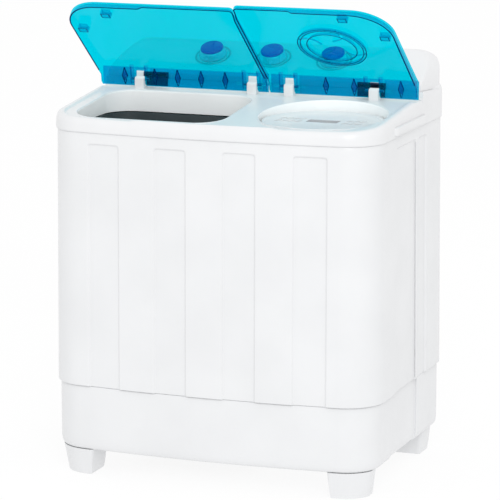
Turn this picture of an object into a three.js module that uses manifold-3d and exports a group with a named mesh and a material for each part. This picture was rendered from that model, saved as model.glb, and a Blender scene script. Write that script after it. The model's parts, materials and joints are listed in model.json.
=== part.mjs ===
// Compact twin tub washing machine: wash tub on the left, spin tub on the right, two tinted lids.
// Millimetres, +Z up, front towards -Y. The origin is on the floor under the middle of the machine.
import * as THREE from 'three';
import { mergeVertices } from 'three/addons/utils/BufferGeometryUtils.js';
import Module from 'manifold-3d';

const wasm = await Module();
wasm.setup();

// ---------------------------------------------------------------- driving dimensions
const WIDTH = 590;
const DEPTH = 412;
const FRONT_BOW = 20; // how far the middle of the front stands out past its ends
const FRONT_RADIUS = 68;
const REAR_RADIUS = 20;
const GAP = 0.3; // between neighbouring pieces
const WALL = 3;

const FOOT_TOP = 46;
const BASE_FLOOR = FOOT_TOP + 5.5;
const BASE_TOP = 159.5;
const SHELL_BOTTOM = BASE_TOP + GAP;
const SHELL_TOP = 599.5;
const RIM_BOTTOM = SHELL_TOP + GAP;
const RIM_FRONT = 623.5; // crest of the rim at the front
const RIM_SLOPE = Math.tan(THREE.MathUtils.degToRad(5.2));
const DECK_DROP = 4; // the deck lies this far below the rim's crest
const DECK_THICK = 3;
const PLINTH_FRONT_Y = 78;
const PLINTH_TOP = 658;

const FLUTE_CENTRES = [61.7, 185];
const FLUTE_HALF = 28.5;
const FLUTE_TOP = 580;
const RELIEF = 3;
const SHELL_RECESSES = [[-62, 49], [61, 109]];
const BASE_RECESSES = [[-71, 68]];

const HINGE = { y: 56, z: 659 };
const LID_REST = 37; // degrees above level in the stored pose
const LID_TOP = 18; // outer face of the lid above the hinge axis
const LID_THICK = 2.5;
const WASH_LID = { x0: -292, x1: 20.5, y0: -233, y1: -8 }; // drawn level, with the hinge axis at y 0
const SPIN_LID = { x0: 23.5, x1: 292, y0: -241, y1: -8 };
const POST_WIDTH = 17;
const POSTS_X = [-218, -8, 60, 214];
const ROSETTE = { x: 168, y: -123 };
const PIN_RADIUS = 2.2;
const BARREL_RADIUS = 5.2;

const WASH_OPENING = { x0: -260, x1: 10, y0: -165, y1: 40 };
const WASH_CORNER = 48;
const TUB_BOTTOM = 300;
const TUB_TOP = 602;
const COLLAR_BOTTOM = 604;
const PULSATOR = { x: -125, y: -62 };
const SPIN = { x: 163, y: -65 };
const SPIN_SIDES = 28;
const SPIN_OPENING_RADIUS = 109;
const OUTER_TUB_RADIUS = 112;
const OUTER_TUB_BOTTOM = 325;
const BASKET_RADIUS = 100;
const BASKET_BOTTOM = 345;
const BASKET_TOP = 590;

const WASH_MOTOR = { x: -25, y: 38 };
const PULLEY_Z = 212;
const PULLEY_PITCH = 66;
const MOTOR_PULLEY_PITCH = 16.5;
const BELT = { thick: 5, wide: 9 };

const PANEL_ANGLE = 25; // degrees, slope of the control panel
const KNOB_FOOT = { y: 136, z: 696 }; // on the panel's outer face
const KNOBS = { wash_timer: -112, selector: 1, spin_timer: 114 };

// ---------------------------------------------------------------- colours
const paint = (color, roughness, metalness = 0, opacity = 1) =>
  new THREE.MeshStandardMaterial({ color, roughness, metalness, opacity, transparent: opacity < 1 });
const WHITE = paint(0xf1f2f4, 0.35);
const TINT = paint(0x00c8dc, 0.1, 0, 0.5);
const SLATE = paint(0x3c4648, 0.5);
const NAVY = paint(0x101c40, 0.4);
const BLUE = paint(0x1e4fc8, 0.3);
const PEARL = paint(0xd6dce2, 0.3);
const BLACK = paint(0x1b1b1d, 0.7);
const STEEL = paint(0xb4b8bc, 0.35, 1);
const CAST = paint(0x8b8f92, 0.5, 1);
const GREY = paint(0x9ba0a3, 0.5);

// ---------------------------------------------------------------- joining and cutting
function clean(geometry) {
  const plain = geometry.clone();
  plain.deleteAttribute('normal');
  plain.deleteAttribute('uv');
  const merged = mergeVertices(plain, 1e-4);
  const corners = merged.index.array;
  const kept = [];
  for (let i = 0; i < corners.length; i += 3) {
    const [a, b, c] = [corners[i], corners[i + 1], corners[i + 2]];
    if (a !== b && b !== c && c !== a) kept.push(a, b, c);
  }
  merged.setIndex(kept);
  return merged;
}

function toSolid(geometry) {
  const closed = clean(geometry);
  return new wasm.Manifold(new wasm.Mesh({
    numProp: 3,
    vertProperties: Float32Array.from(closed.attributes.position.array),
    triVerts: Uint32Array.from(closed.index.array),
  }));
}

function fromSolid(solid) {
  const { vertProperties, triVerts } = solid.getMesh();
  const geometry = new THREE.BufferGeometry();
  geometry.setAttribute('position', new THREE.BufferAttribute(vertProperties, 3));
  geometry.setIndex(new THREE.BufferAttribute(triVerts, 1));
  return geometry;
}

function combine(how, first, others) {
  let solid = toSolid(first);
  for (const other of others) solid = solid[how](toSolid(other));
  return fromSolid(solid);
}

const join = (first, ...others) => combine('add', first, others);
const cut = (first, ...others) => combine('subtract', first, others);
const common = (first, ...others) => combine('intersect', first, others);

// ---------------------------------------------------------------- basic shapes
function box([x0, x1], [y0, y1], [z0, z1]) {
  return new THREE.BoxGeometry(x1 - x0, y1 - y0, z1 - z0)
    .translate((x0 + x1) / 2, (y0 + y1) / 2, (z0 + z1) / 2);
}

/** A round bar between two points. */
function bar(radius, from, to, segments = 12) {
  const a = new THREE.Vector3(...from);
  const b = new THREE.Vector3(...to);
  const along = b.clone().sub(a);
  const turn = new THREE.Quaternion().setFromUnitVectors(new THREE.Vector3(0, 1, 0), along.clone().normalize());
  return new THREE.CylinderGeometry(radius, radius, along.length(), segments)
    .applyQuaternion(turn).translate(...a.add(b).multiplyScalar(0.5).toArray());
}

/** A profile of [radius, z] turned about the Z axis at (x, y). */
function turned(profile, segments = 16, { x, y } = { x: 0, y: 0 }) {
  const points = profile.map(([r, z]) => new THREE.Vector2(r, z));
  return new THREE.LatheGeometry(points, segments).rotateX(Math.PI / 2).translate(x, y, 0);
}

/** A tube between two heights, turned about (x, y). */
const tube = (outer, inner, z0, z1, at, segments = 16) =>
  turned([[outer, z0], [outer, z1], [inner, z1], [inner, z0], [outer, z0]], segments, at);

/** An outline of [x, y] points raised from z0 to z1. */
function raised(outline, z0, z1) {
  const shape = new THREE.Shape(outline.map(([x, y]) => new THREE.Vector2(x, y)));
  return new THREE.ExtrudeGeometry(shape, { depth: z1 - z0, bevelEnabled: false }).translate(0, 0, z0);
}

/** An outline of [y, z] points drawn out along X. */
function acrossX(outline, x0, x1) {
  const turn = new THREE.Matrix4().makeBasis(
    new THREE.Vector3(0, 1, 0), new THREE.Vector3(0, 0, 1), new THREE.Vector3(1, 0, 0));
  return raised(outline, x0, x1).applyMatrix4(turn);
}

/** An outline of [x, z] points drawn out along Y. */
function acrossY(outline, y0, y1) {
  return raised(outline, -y1, -y0).rotateX(Math.PI / 2);
}

/** Rings of [x, y, z] joined side to side, capped at both ends or closed into a hollow frame. */
function loft(rings, closed = false) {
  const count = rings[0].length;
  const index = [];
  const spans = closed ? rings.length : rings.length - 1;
  for (let r = 0; r < spans; r++) {
    const low = r * count;
    const high = ((r + 1) % rings.length) * count;
    for (let i = 0; i < count; i++) {
      const j = (i + 1) % count;
      index.push(low + i, low + j, high + j, low + i, high + j, high + i);
    }
  }
  if (!closed) {
    const last = (rings.length - 1) * count;
    const flat = (ring) => ring.map(([x, y]) => new THREE.Vector2(x, y));
    for (const [a, b, c] of THREE.ShapeUtils.triangulateShape(flat(rings[0]), [])) index.push(c, b, a);
    for (const [a, b, c] of THREE.ShapeUtils.triangulateShape(flat(rings.at(-1)), [])) {
      index.push(last + a, last + b, last + c);
    }
  }
  const geometry = new THREE.BufferGeometry();
  geometry.setAttribute('position', new THREE.Float32BufferAttribute(rings.flat(2), 3));
  geometry.setIndex(index);
  return geometry;
}

const at = (outline, z) => outline.map(([x, y]) => [x, y, typeof z === 'function' ? z(y) : z]);

function arc(cx, cy, radius, start, end, steps) {
  return Array.from({ length: steps + 1 }, (_, i) => {
    const angle = start + (end - start) * i / steps;
    return [cx + radius * Math.cos(angle), cy + radius * Math.sin(angle)];
  });
}

/** A rectangle with its own radius at each corner: front right, rear right, rear left, front left. */
function roundedBox({ x0, x1, y0, y1 }, radii, inset = 0, steps = 4) {
  const [fr, rr, rl, fl] = radii.map((r) => Math.max(r - inset, 0.4));
  const [l, r, f, b] = [x0 + inset, x1 - inset, y0 + inset, y1 - inset];
  const quarter = Math.PI / 2;
  return [
    ...arc(r - fr, f + fr, fr, -quarter, 0, steps),
    ...arc(r - rr, b - rr, rr, 0, quarter, steps),
    ...arc(l + rl, b - rl, rl, quarter, 2 * quarter, steps),
    ...arc(l + fl, f + fl, fl, 2 * quarter, 3 * quarter, steps),
  ];
}

// ---------------------------------------------------------------- the machine's footprint
const BOW_RADIUS = ((WIDTH / 2) ** 2 + FRONT_BOW ** 2) / (2 * FRONT_BOW);
const BOW_CENTRE_Y = -DEPTH / 2 + BOW_RADIUS;

/**
 * The plan outline, moved inwards by `inset`: a bowed front, round corners and a flat rear.
 * Flutes in the front and recesses in the sides lie `relief` deeper.
 */
function footprint(inset, { relief = 0, flutes = [], recesses = [], rear = inset } = {}) {
  const edge = 1;
  const bow = (x) => BOW_CENTRE_Y - Math.sqrt((BOW_RADIUS - inset) ** 2 - x ** 2);
  const side = WIDTH / 2 - inset;
  const cx = WIDTH / 2 - FRONT_RADIUS;
  const cy = BOW_CENTRE_Y - Math.sqrt((BOW_RADIUS - FRONT_RADIUS) ** 2 - cx ** 2);
  const rearRadius = REAR_RADIUS - 2;
  const right = flutes.length ? [] : [55, 110, 165].map((x) => [x, bow(x)]);
  for (const c of flutes) {
    const [start, end] = [c - FLUTE_HALF, c + FLUTE_HALF];
    right.push([start, bow(start)], [start + edge, bow(start + edge) + relief]);
    right.push([end - edge, bow(end - edge) + relief], [end, bow(end)]);
  }
  right.push(...arc(cx, cy, FRONT_RADIUS - inset, Math.atan2(cy - BOW_CENTRE_Y, cx), 0, 6));
  for (const [y0, y1] of recesses) {
    right.push([side, y0], [side - relief, y0 + edge], [side - relief, y1 - edge], [side, y1]);
  }
  right.push(...arc(side - rearRadius, DEPTH / 2 - rear - rearRadius, rearRadius, 0, Math.PI / 2, 3));
  const left = right.map(([x, y]) => [-x, y]).reverse();
  return [[0, bow(0)], ...right, [0, DEPTH / 2 - rear], ...left];
}

// ---------------------------------------------------------------- the scene
const washer = new THREE.Group();

function add(name, geometry, material, parent = washer) {
  const mesh = new THREE.Mesh(clean(geometry), material);
  mesh.name = name;
  parent.add(mesh);
  return mesh;
}

// ---------------------------------------------------------------- feet, base and cabinet
function foot(side, y0, y1) {
  const [x0, x1] = [212, 281];
  const block = loft([
    at(roundedBox({ x0: x0 + 4, x1: x1 - 7, y0: y0 + 5, y1: y1 - 5 }, [10, 10, 3, 3]), 0),
    at(roundedBox({ x0, x1, y0, y1 }, [12, 12, 3, 3]), FOOT_TOP),
  ]);
  const underBase = loft([at(footprint(17), -1), at(footprint(8), FOOT_TOP + 1)]);
  const shape = common(block, underBase);
  return side > 0 ? shape : mirrored(shape);
}

/** The same solid on the other side of the machine. */
function mirrored(geometry) {
  const copy = geometry.clone().scale(-1, 1, 1);
  const corners = copy.index.array;
  const flipped = [];
  for (let i = 0; i < corners.length; i += 3) flipped.push(corners[i], corners[i + 2], corners[i + 1]);
  copy.setIndex(flipped);
  return copy;
}

for (const [label, side] of [['left', -1], ['right', 1]]) {
  add(`foot_front_${label}`, foot(side, -196, -118), WHITE);
  add(`foot_rear_${label}`, foot(side, 138, 198), WHITE);
}

const SPIGOT = { x: -200, z: 95 };
const GLAND = { x: 205, z: 105 };
const GUARD = { x0: -200, x1: 70, y0: -120, y1: 125 };

function baseSkirt() {
  const plan = (inset) => footprint(inset, { relief: RELIEF, recesses: BASE_RECESSES });
  const tray = loft([
    at(plan(12), FOOT_TOP + GAP), at(plan(6), FOOT_TOP + 3), at(plan(3.6), FOOT_TOP + 8),
    at(plan(3), FOOT_TOP + 13), at(plan(3), BASE_TOP), at(plan(6.5), BASE_TOP), at(plan(9), BASE_FLOOR),
  ]);
  const vent = box([GUARD.x0 + 15, GUARD.x1 - 15], [GUARD.y0 + 15, GUARD.y1 - 15], [40, 70]);
  const drain = bar(14.4, [SPIGOT.x, 180, SPIGOT.z], [SPIGOT.x, 220, SPIGOT.z], 24);
  const cord = bar(8.3, [GLAND.x, 180, GLAND.z], [GLAND.x, 220, GLAND.z], 24);
  return cut(tray, vent, drain, cord);
}
add('base_skirt', baseSkirt(), WHITE);

function bottomGuard() {
  const sheet = raised(roundedBox(GUARD, [12, 12, 12, 12]), FOOT_TOP - 3.5, FOOT_TOP);
  const slots = [];
  for (let x = GUARD.x0 + 35; x < GUARD.x1 - 25; x += 30) {
    slots.push(box([x, x + 12], [GUARD.y0 + 30, GUARD.y1 - 30], [FOOT_TOP - 10, FOOT_TOP + 10]));
  }
  return cut(sheet, ...slots);
}
add('bottom_guard', bottomGuard(), WHITE);

const BACK = { x0: -205, x1: 205, z0: 185, z1: 575 };
const BACK_FACE_Y = DEPTH / 2 - 1;
const BACK_SCREWS = [BACK.x0 + 9, BACK.x1 - 9].flatMap((x) => [[x, BACK.z0 + 9], [x, BACK.z1 - 9]]);

function cabinetShell() {
  const plan = (inset, relief, rear) =>
    footprint(inset, { relief, flutes: FLUTE_CENTRES, recesses: SHELL_RECESSES, rear });
  const rings = [
    at(plan(2, RELIEF, 2), SHELL_BOTTOM), at(plan(0, RELIEF, 1), SHELL_BOTTOM + 3),
    at(plan(3.3, RELIEF, 1), FLUTE_TOP - 1.5), at(plan(3.3, 0, 1), FLUTE_TOP), at(plan(3.5, 0, 1), SHELL_TOP),
    at(plan(6.5, 0, 4), SHELL_TOP), at(plan(6.5, 0, 4), FLUTE_TOP + 2), at(plan(6.3, RELIEF, 4), FLUTE_TOP),
    at(plan(WALL, RELIEF, 4), SHELL_BOTTOM),
  ];
  const seat = box([BACK.x0, BACK.x1], [BACK_FACE_Y - 1.6, 220], [BACK.z0, BACK.z1]);
  const hatch = box([BACK.x0 + 18, BACK.x1 - 18], [190, 220], [BACK.z0 + 18, BACK.z1 - 18]);
  const holes = BACK_SCREWS.map(([x, z]) => bar(2.1, [x, 190, z], [x, 220, z], 12));
  return cut(loft(rings, true), seat, hatch, ...holes);
}
add('cabinet_shell', cabinetShell(), WHITE);

function backPanel() {
  const sheet = box(
    [BACK.x0 + 0.4, BACK.x1 - 0.4], [BACK_FACE_Y - 1.3, BACK_FACE_Y - 0.1], [BACK.z0 + 0.4, BACK.z1 - 0.4]);
  const holes = BACK_SCREWS.map(([x, z]) => bar(2.1, [x, 190, z], [x, 220, z], 12));
  const louvres = [];
  for (let z = 215; z <= 275; z += 12) {
    for (const across of [[-130, -30], [30, 130]]) louvres.push(box(across, [190, 220], [z, z + 5]));
  }
  return cut(sheet, ...holes, ...louvres);
}
add('back_panel', backPanel(), WHITE);

BACK_SCREWS.forEach(([x, z], i) => {
  const head = bar(3.6, [x, BACK_FACE_Y + 0.1, z], [x, BACK_FACE_Y + 0.9, z], 16);
  const shank = bar(1.7, [x, BACK_FACE_Y - 9, z], [x, BACK_FACE_Y + 0.5, z], 12);
  add(`back_panel_screw_${i + 1}`, join(head, shank), STEEL);
});

// ---------------------------------------------------------------- top cover
const rimCrest = (y) => RIM_FRONT + (y + DEPTH / 2) * RIM_SLOPE;
const plinthTop = (y) => PLINTH_TOP - (y - PLINTH_FRONT_Y) * 0.07;
const deckTop = (y) => rimCrest(y) - DECK_DROP;
const spinPlan = (radius) => arc(SPIN.x, SPIN.y, radius, 0, 2 * Math.PI, SPIN_SIDES).slice(0, -1);
const washPlan = (inset) => roundedBox(WASH_OPENING, Array(4).fill(WASH_CORNER), inset);
/** A solid with the same outline from a height up to another, which may follow the deck. */
const column = (outline, low, high) => loft([at(outline, low), at(outline, high)]);

function hingePost(x) {
  const [x0, x1] = [x - POST_WIDTH / 2, x + POST_WIDTH / 2];
  const upright = box([x0, x1], [HINGE.y - 6, HINGE.y + 6], [638, HINGE.z]);
  const round = bar(8, [x0, HINGE.y, HINGE.z], [x1, HINGE.y, HINGE.z]);
  const shoulder = box([x0 - 8, x1 + 8], [HINGE.y - 10, HINGE.y + 10], [HINGE.z - 6, HINGE.z + 10]);
  return join(upright, common(round, shoulder));
}

const [GRIP_LOW, GRIP_TOP] = [604.5, 618.5];
/** The grip along one side: a lip with round ends that stands out over a shadow gap. */
function sideGrip() {
  const out = WIDTH / 2 + 4;
  const lip = raised(roundedBox({ x0: 280, x1: out, y0: -85, y1: 90 }, [12, 12, 2, 2]), GRIP_LOW, GRIP_TOP);
  const under = box([280, out - 3], [-75, 80], [GRIP_LOW - 7, GRIP_TOP - 5]);
  return cut(lip, under);
}

function topCover() {
  const rounded = loft([
    at(footprint(1), RIM_BOTTOM), at(footprint(1), (y) => rimCrest(y) - 14),
    at(footprint(3), (y) => rimCrest(y) - 4), at(footprint(8), rimCrest),
  ]);
  const plinthSide = footprint(1);
  const plinth = cut(
    loft([at(plinthSide, RIM_BOTTOM + 20), at(plinthSide, PLINTH_TOP + 5)]),
    box([-400, 400], [-400, PLINTH_FRONT_Y], [500, 800]));
  const deckPan = common(
    loft([at(footprint(20), deckTop), at(footprint(16), (y) => rimCrest(y) + 6)]),
    box([-400, 400], [-400, PLINTH_FRONT_Y - 8], [600, 800]));
  const hingeTrough = box([-300, 300], [HINGE.y - 16, HINGE.y + 18], [643, 800]);
  const below = loft([at(footprint(4), 590), at(footprint(6), (y) => deckTop(y) - DECK_THICK)]);
  const cableWell = box([-250, 250], [PLINTH_FRONT_Y + 14, 192], [600, 700]);
  const underLip = (y) => deckTop(y) - 1;
  const collars = [
    column(washPlan(-3), COLLAR_BOTTOM, underLip),
    column(spinPlan(SPIN_OPENING_RADIUS + 2.5), COLLAR_BOTTOM, underLip),
  ];
  const openings = [column(washPlan(0), 580, 700), column(spinPlan(SPIN_OPENING_RADIUS), 580, 700)];
  const aboveSeam = acrossX([
    [PLINTH_FRONT_Y, plinthTop(PLINTH_FRONT_Y)], [DEPTH, plinthTop(DEPTH)], [DEPTH, 700], [PLINTH_FRONT_Y, 700],
  ], -400, 400);
  const shell = cut(join(rounded, plinth), aboveSeam, deckPan, hingeTrough, below, cableWell);
  const lipRing = loft([at(footprint(4), RIM_FRONT - 10), at(footprint(6), RIM_FRONT + 2)]);
  const lipSpan = box([-130, 122], [-300, 0], [590, 700]);
  const frontLip = common(cut(lipRing, column(footprint(14), 590, 660)), lipSpan);
  const grips = [sideGrip(), mirrored(clean(sideGrip()))];
  const body = join(shell, ...collars, frontLip, ...POSTS_X.map(hingePost), ...grips);
  const pinHoles = POSTS_X.map((x) =>
    bar(PIN_RADIUS + 0.4, [x - 20, HINGE.y, HINGE.z], [x + 20, HINGE.y, HINGE.z], 16));
  return cut(body, ...openings, ...pinHoles);
}
add('top_cover', topCover(), WHITE);

// ---------------------------------------------------------------- lids and their pins
const lidHinge = new THREE.Group();
lidHinge.position.set(0, HINGE.y, HINGE.z);
lidHinge.rotation.x = -THREE.MathUtils.degToRad(LID_REST);
washer.add(lidHinge);

/** A lid drawn level, its hinge axis along X through the origin, its front towards -Y. */
function lid(area, outer, { posts, gussets, bumpers }, extras = []) {
  const { x0, x1, y0, y1 } = area;
  const radii = outer > 0 ? [65, 3, 3, 8] : [8, 3, 3, 65];
  const plan = (inset) => roundedBox(area, radii, inset, 5);
  const hem = (y) => 1 + (y1 - y) / (y1 - y0) * 5; // the side skirts are deeper towards the hinge
  const ceiling = LID_TOP - LID_THICK;
  const pan = loft([
    at(plan(LID_THICK), ceiling), at(plan(LID_THICK), hem), at(plan(0), hem), at(plan(0), LID_TOP - 1.5),
    at(plan(1.5), LID_TOP),
  ]);
  const rearOpening = box([x0 + LID_THICK, x1 - LID_THICK], [-14, 0], [-5, ceiling]);
  const slope = [[-8, LID_TOP], [-11, ceiling], [8.5, -8], [11, -8], [-5.5, LID_TOP - 1.5]];
  const web = [[-22, ceiling + 0.5], [-20, 12], [3, -8], [10.5, -8], [-8, LID_TOP - 1]];
  const middle = (x0 + x1) / 2;
  const fingerNotch = box([middle - 75, middle + 75], [y0 - 5, y0 + LID_THICK + 2], [0, 8]);
  const ends = [acrossX(web, x0, x0 + LID_THICK), acrossX(web, x1 - LID_THICK, x1)];
  const webs = gussets.map((x) => acrossX(web, x, x + 1.6));
  const barrelAt = (low) => join(bar(BARREL_RADIUS, [low, 0, 0], [low + 8, 0, 0]), acrossX(web, low, low + 8));
  const barrels = posts.flatMap((x) => [barrelAt(x - POST_WIDTH / 2 - 9), barrelAt(x + POST_WIDTH / 2 + 1)]);
  const blocks = bumpers.map(([x, y]) => box([x - 7, x + 7], [y - 6, y + 6], [6, ceiling + 0.5]));
  const shell = join(cut(pan, rearOpening, fingerNotch), acrossX(slope, x0, x1));
  const body = join(shell, ...ends, ...webs, ...barrels, ...blocks, ...extras);
  const halfGap = POST_WIDTH / 2 + 1;
  const reliefs = posts.map((x) => box([x - halfGap, x + halfGap], [-11, 20], [-12, 14]));
  const bores = posts.map((x) => bar(PIN_RADIUS + 0.4, [x - 30, 0, 0], [x + 30, 0, 0], 16));
  return cut(body, ...reliefs, ...bores);
}

/** Concentric ribs with short curved vanes, moulded under the spin lid. */
function rosette() {
  const [low, high] = [LID_TOP - 8, LID_TOP - 1];
  const vanes = [20, 110, 200, 290].map((degrees) => box([22, 57], [-1.2, 1.2], [low + 2, high])
    .rotateZ(THREE.MathUtils.degToRad(degrees)).translate(ROSETTE.x, ROSETTE.y, 0));
  return [tube(60, 56.5, low, high, ROSETTE, 24), tube(44, 41.5, low + 2, high, ROSETTE, 20), ...vanes];
}

add('wash_lid', lid(WASH_LID, -1, {
  posts: POSTS_X.slice(0, 2), gussets: [-247, -190, -147, -103, -58], bumpers: [[-214.5, -208], [-274, -156]],
}), TINT, lidHinge);
add('spin_lid', lid(SPIN_LID, 1, {
  posts: POSTS_X.slice(2), gussets: [127, 178, 262], bumpers: [[214, -226], [274.5, -172]],
}, rosette()), TINT, lidHinge);

POSTS_X.forEach((x, i) => {
  const reach = POST_WIDTH / 2 + 8;
  const pin = bar(PIN_RADIUS, [x - reach, HINGE.y, HINGE.z], [x + reach, HINGE.y, HINGE.z], 16);
  add(`hinge_pin_${i + 1}`, pin, STEEL);
});

// ---------------------------------------------------------------- control housing, inlets and knobs
const PANEL_SLOPE = Math.tan(THREE.MathUtils.degToRad(PANEL_ANGLE));
const panelZ = (y) => KNOB_FOOT.z + (y - KNOB_FOOT.y) * PANEL_SLOPE;
const HOUSING_FRONT_Y = PLINTH_FRONT_Y + 2;
const INLETS = { wash_inlet: [-221, -175], spin_inlet: [176, 226] };

function housingBlock(inset) {
  const front = HOUSING_FRONT_Y + inset;
  const rear = DEPTH / 2 - 1 - inset;
  const drop = inset / Math.cos(THREE.MathUtils.degToRad(PANEL_ANGLE));
  const crest = panelZ(184) - drop;
  const low = inset > 0 ? 600 : 640;
  const profile = [
    [front, low], [rear, low], ...arc(rear - 16, crest - 14, 16, 0, Math.PI / 2, 5), [184, crest],
    [front, panelZ(front) - drop],
  ];
  const side = WIDTH / 2 - 5.5 - inset;
  const shoulder = 46 - inset;
  const faceOn = [
    [-side, low], [side, low], ...arc(side - shoulder, crest + 2 - shoulder, shoulder, 0, Math.PI / 2, 6),
    ...arc(-side + shoulder, crest + 2 - shoulder, shoulder, Math.PI / 2, Math.PI, 6),
  ];
  const plan = footprint(inset + 1.5);
  return common(acrossX(profile, -400, 400), acrossY(faceOn, -100, 400), column(plan, low - 5, 800));
}

/** Turns a knob or timer drawn upright on the XY plane onto the panel at x. */
function onPanel(x) {
  const frame = new THREE.Group();
  frame.position.set(x, KNOB_FOOT.y, KNOB_FOOT.z);
  frame.rotation.x = THREE.MathUtils.degToRad(PANEL_ANGLE);
  washer.add(frame);
  return frame;
}

function controlHousing() {
  const belowSeam = column(footprint(-40), 500, (y) => plinthTop(y) + GAP);
  const dy = 20 * Math.sin(THREE.MathUtils.degToRad(PANEL_ANGLE));
  const dz = 20 * Math.cos(THREE.MathUtils.degToRad(PANEL_ANGLE));
  const shaftHoles = Object.values(KNOBS).map((x) =>
    bar(4.5, [x, KNOB_FOOT.y + dy, KNOB_FOOT.z - dz], [x, KNOB_FOOT.y - dy, KNOB_FOOT.z + dz]));
  const ports = Object.values(INLETS).map(([x0, x1]) => box([x0 - GAP, x1 + GAP], [70, 101], [640, 669 + GAP]));
  return cut(housingBlock(0), housingBlock(WALL), belowSeam, ...shaftHoles, ...ports);
}
add('control_housing', controlHousing(), WHITE);

/** A hopper that takes the water hose, open to the front. */
function inlet([x0, x1]) {
  const floor = PLINTH_TOP + GAP;
  const body = box([x0, x1], [PLINTH_FRONT_Y + 0.2, 100], [floor, 669]);
  return cut(body, box([x0 + 2, x1 - 2], [60, 96], [floor + 2, 667]));
}
for (const [name, span] of Object.entries(INLETS)) add(name, inlet(span), NAVY);

for (const [name, x] of Object.entries(KNOBS)) {
  const frame = onPanel(x);
  const skirt = turned([[0, 1], [25, 1], [25, 3], [22, 12.5], [21, 13.5], [0, 13.5]], 24);
  const shaft = bar(3.6, [0, 0, -22], [0, 0, 5], 16);
  const cap = turned([[0, 13.8], [20.3, 13.8], [20, 16.8], [18.5, 18.2], [0, 18.8]], 24);
  add(`${name}_knob`, join(skirt, shaft), PEARL, frame);
  add(`${name}_knob_cap`, cap, BLUE, frame);
  const top = -WALL - GAP;
  const works = box([-23, 23], [-20, 20], [top - 30, top]);
  const mount = box([-30, 30], [-9, 9], [top - 3, top]);
  add(`${name}_body`, cut(join(works, mount), bar(4.1, [0, 0, -24], [0, 0, 2], 16)), GREY, frame);
}

// ---------------------------------------------------------------- wash tub and its drive
function washTub() {
  const plan = washPlan;
  const cup = loft([
    at(plan(14), TUB_BOTTOM), at(plan(4), TUB_BOTTOM + 14), at(plan(-2.5), 590), at(plan(-8), 598),
    at(plan(-8), TUB_TOP), at(plan(0), TUB_TOP), at(plan(6.5), TUB_BOTTOM + 16), at(plan(16), TUB_BOTTOM + 3),
  ]);
  const shaftHole = bar(10.3, [PULSATOR.x, PULSATOR.y, 280], [PULSATOR.x, PULSATOR.y, 330], 24);
  const drainHole = bar(9, [-15, 20, 322], [-15, 60, 322]);
  return cut(cup, shaftHole, drainHole);
}
add('wash_tub', washTub(), SLATE);

function lintFilter() {
  const frame = box([-100, -50], [22, 33], [420, 560]);
  const pocket = box([-95, -55], [25, 40], [427, 570]);
  return cut(frame, pocket);
}
add('lint_filter', lintFilter(), WHITE);

function pulsator() {
  const profile = [[0, 307], [72, 307], [76, 309], [76, 312], [60, 316], [22, 326], [0, 328]];
  const disc = turned(profile, 24, PULSATOR);
  const fins = [0, 60, 120].map((degrees) => box([-70, 70], [-4, 4], [310, 324])
    .rotateZ(THREE.MathUtils.degToRad(degrees)).translate(PULSATOR.x, PULSATOR.y, 0));
  return join(disc, ...fins);
}
add('pulsator', pulsator(), WHITE);
add('pulsator_shaft', bar(6, [PULSATOR.x, PULSATOR.y, 206], [PULSATOR.x, PULSATOR.y, 306.7], 20), STEEL);
add('pulsator_bearing', turned([
  [6.4, 232], [24, 232], [24, 270], [34, 286], [34, TUB_BOTTOM - GAP], [10, TUB_BOTTOM - GAP],
  [10, TUB_BOTTOM + 4], [6.4, TUB_BOTTOM + 4], [6.4, 232]], 20, PULSATOR), CAST);

/** A flat-belt pulley with a flange on each side. */
function pulley(pitch, bore, centre, segments) {
  const [rim, root] = [pitch + 3, pitch - 3];
  const profile = [
    [bore, 0], [rim, 0], [rim, 2.5], [root, 3.2], [root, 12.8], [rim, 13.5], [rim, 16], [bore, 16], [bore, 0]];
  return turned(profile.map(([r, z]) => [r, PULLEY_Z + z]), segments, centre);
}
const lightening = [0, 72, 144, 216, 288].map((degrees) => bar(14, [38, 0, 200], [38, 0, 240], 8)
  .rotateZ(THREE.MathUtils.degToRad(degrees)).translate(PULSATOR.x, PULSATOR.y, 0));
add('driven_pulley', cut(pulley(PULLEY_PITCH, 6.3, PULSATOR, 28), ...lightening), GREY);
add('motor_pulley', pulley(MOTOR_PULLEY_PITCH, 5.3, WASH_MOTOR, 24), GREY);

/** The belt's outline around both pulleys, a distance `out` from their pitch circles. */
function beltOutline(out) {
  const dx = WASH_MOTOR.x - PULSATOR.x;
  const dy = WASH_MOTOR.y - PULSATOR.y;
  const heading = Math.atan2(dy, dx);
  const open = Math.acos((PULLEY_PITCH - MOTOR_PULLEY_PITCH) / Math.hypot(dx, dy));
  return [
    ...arc(WASH_MOTOR.x, WASH_MOTOR.y, MOTOR_PULLEY_PITCH + out, heading - open, heading + open, 8),
    ...arc(PULSATOR.x, PULSATOR.y, PULLEY_PITCH + out, heading + open, heading + 2 * Math.PI - open, 24),
  ];
}
const beltZ = PULLEY_Z + 8 - BELT.wide / 2;
add('drive_belt', loft([
  at(beltOutline(BELT.thick / 2), beltZ), at(beltOutline(BELT.thick / 2), beltZ + BELT.wide),
  at(beltOutline(-BELT.thick / 2), beltZ + BELT.wide), at(beltOutline(-BELT.thick / 2), beltZ)], true), BLACK);

function motor(radius, z0, z1, shaftTop, centre) {
  return turned([
    [0, z0], [12, z0], [14, z0 + 6], [radius - 6, z0 + 6], [radius, z0 + 12], [radius, z1 - 12],
    [radius - 6, z1 - 6], [14, z1 - 6], [12, z1], [5, z1], [5, shaftTop], [0, shaftTop]], 20, centre);
}
add('wash_motor', motor(48, 118, 205, 229, WASH_MOTOR), CAST);

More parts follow.
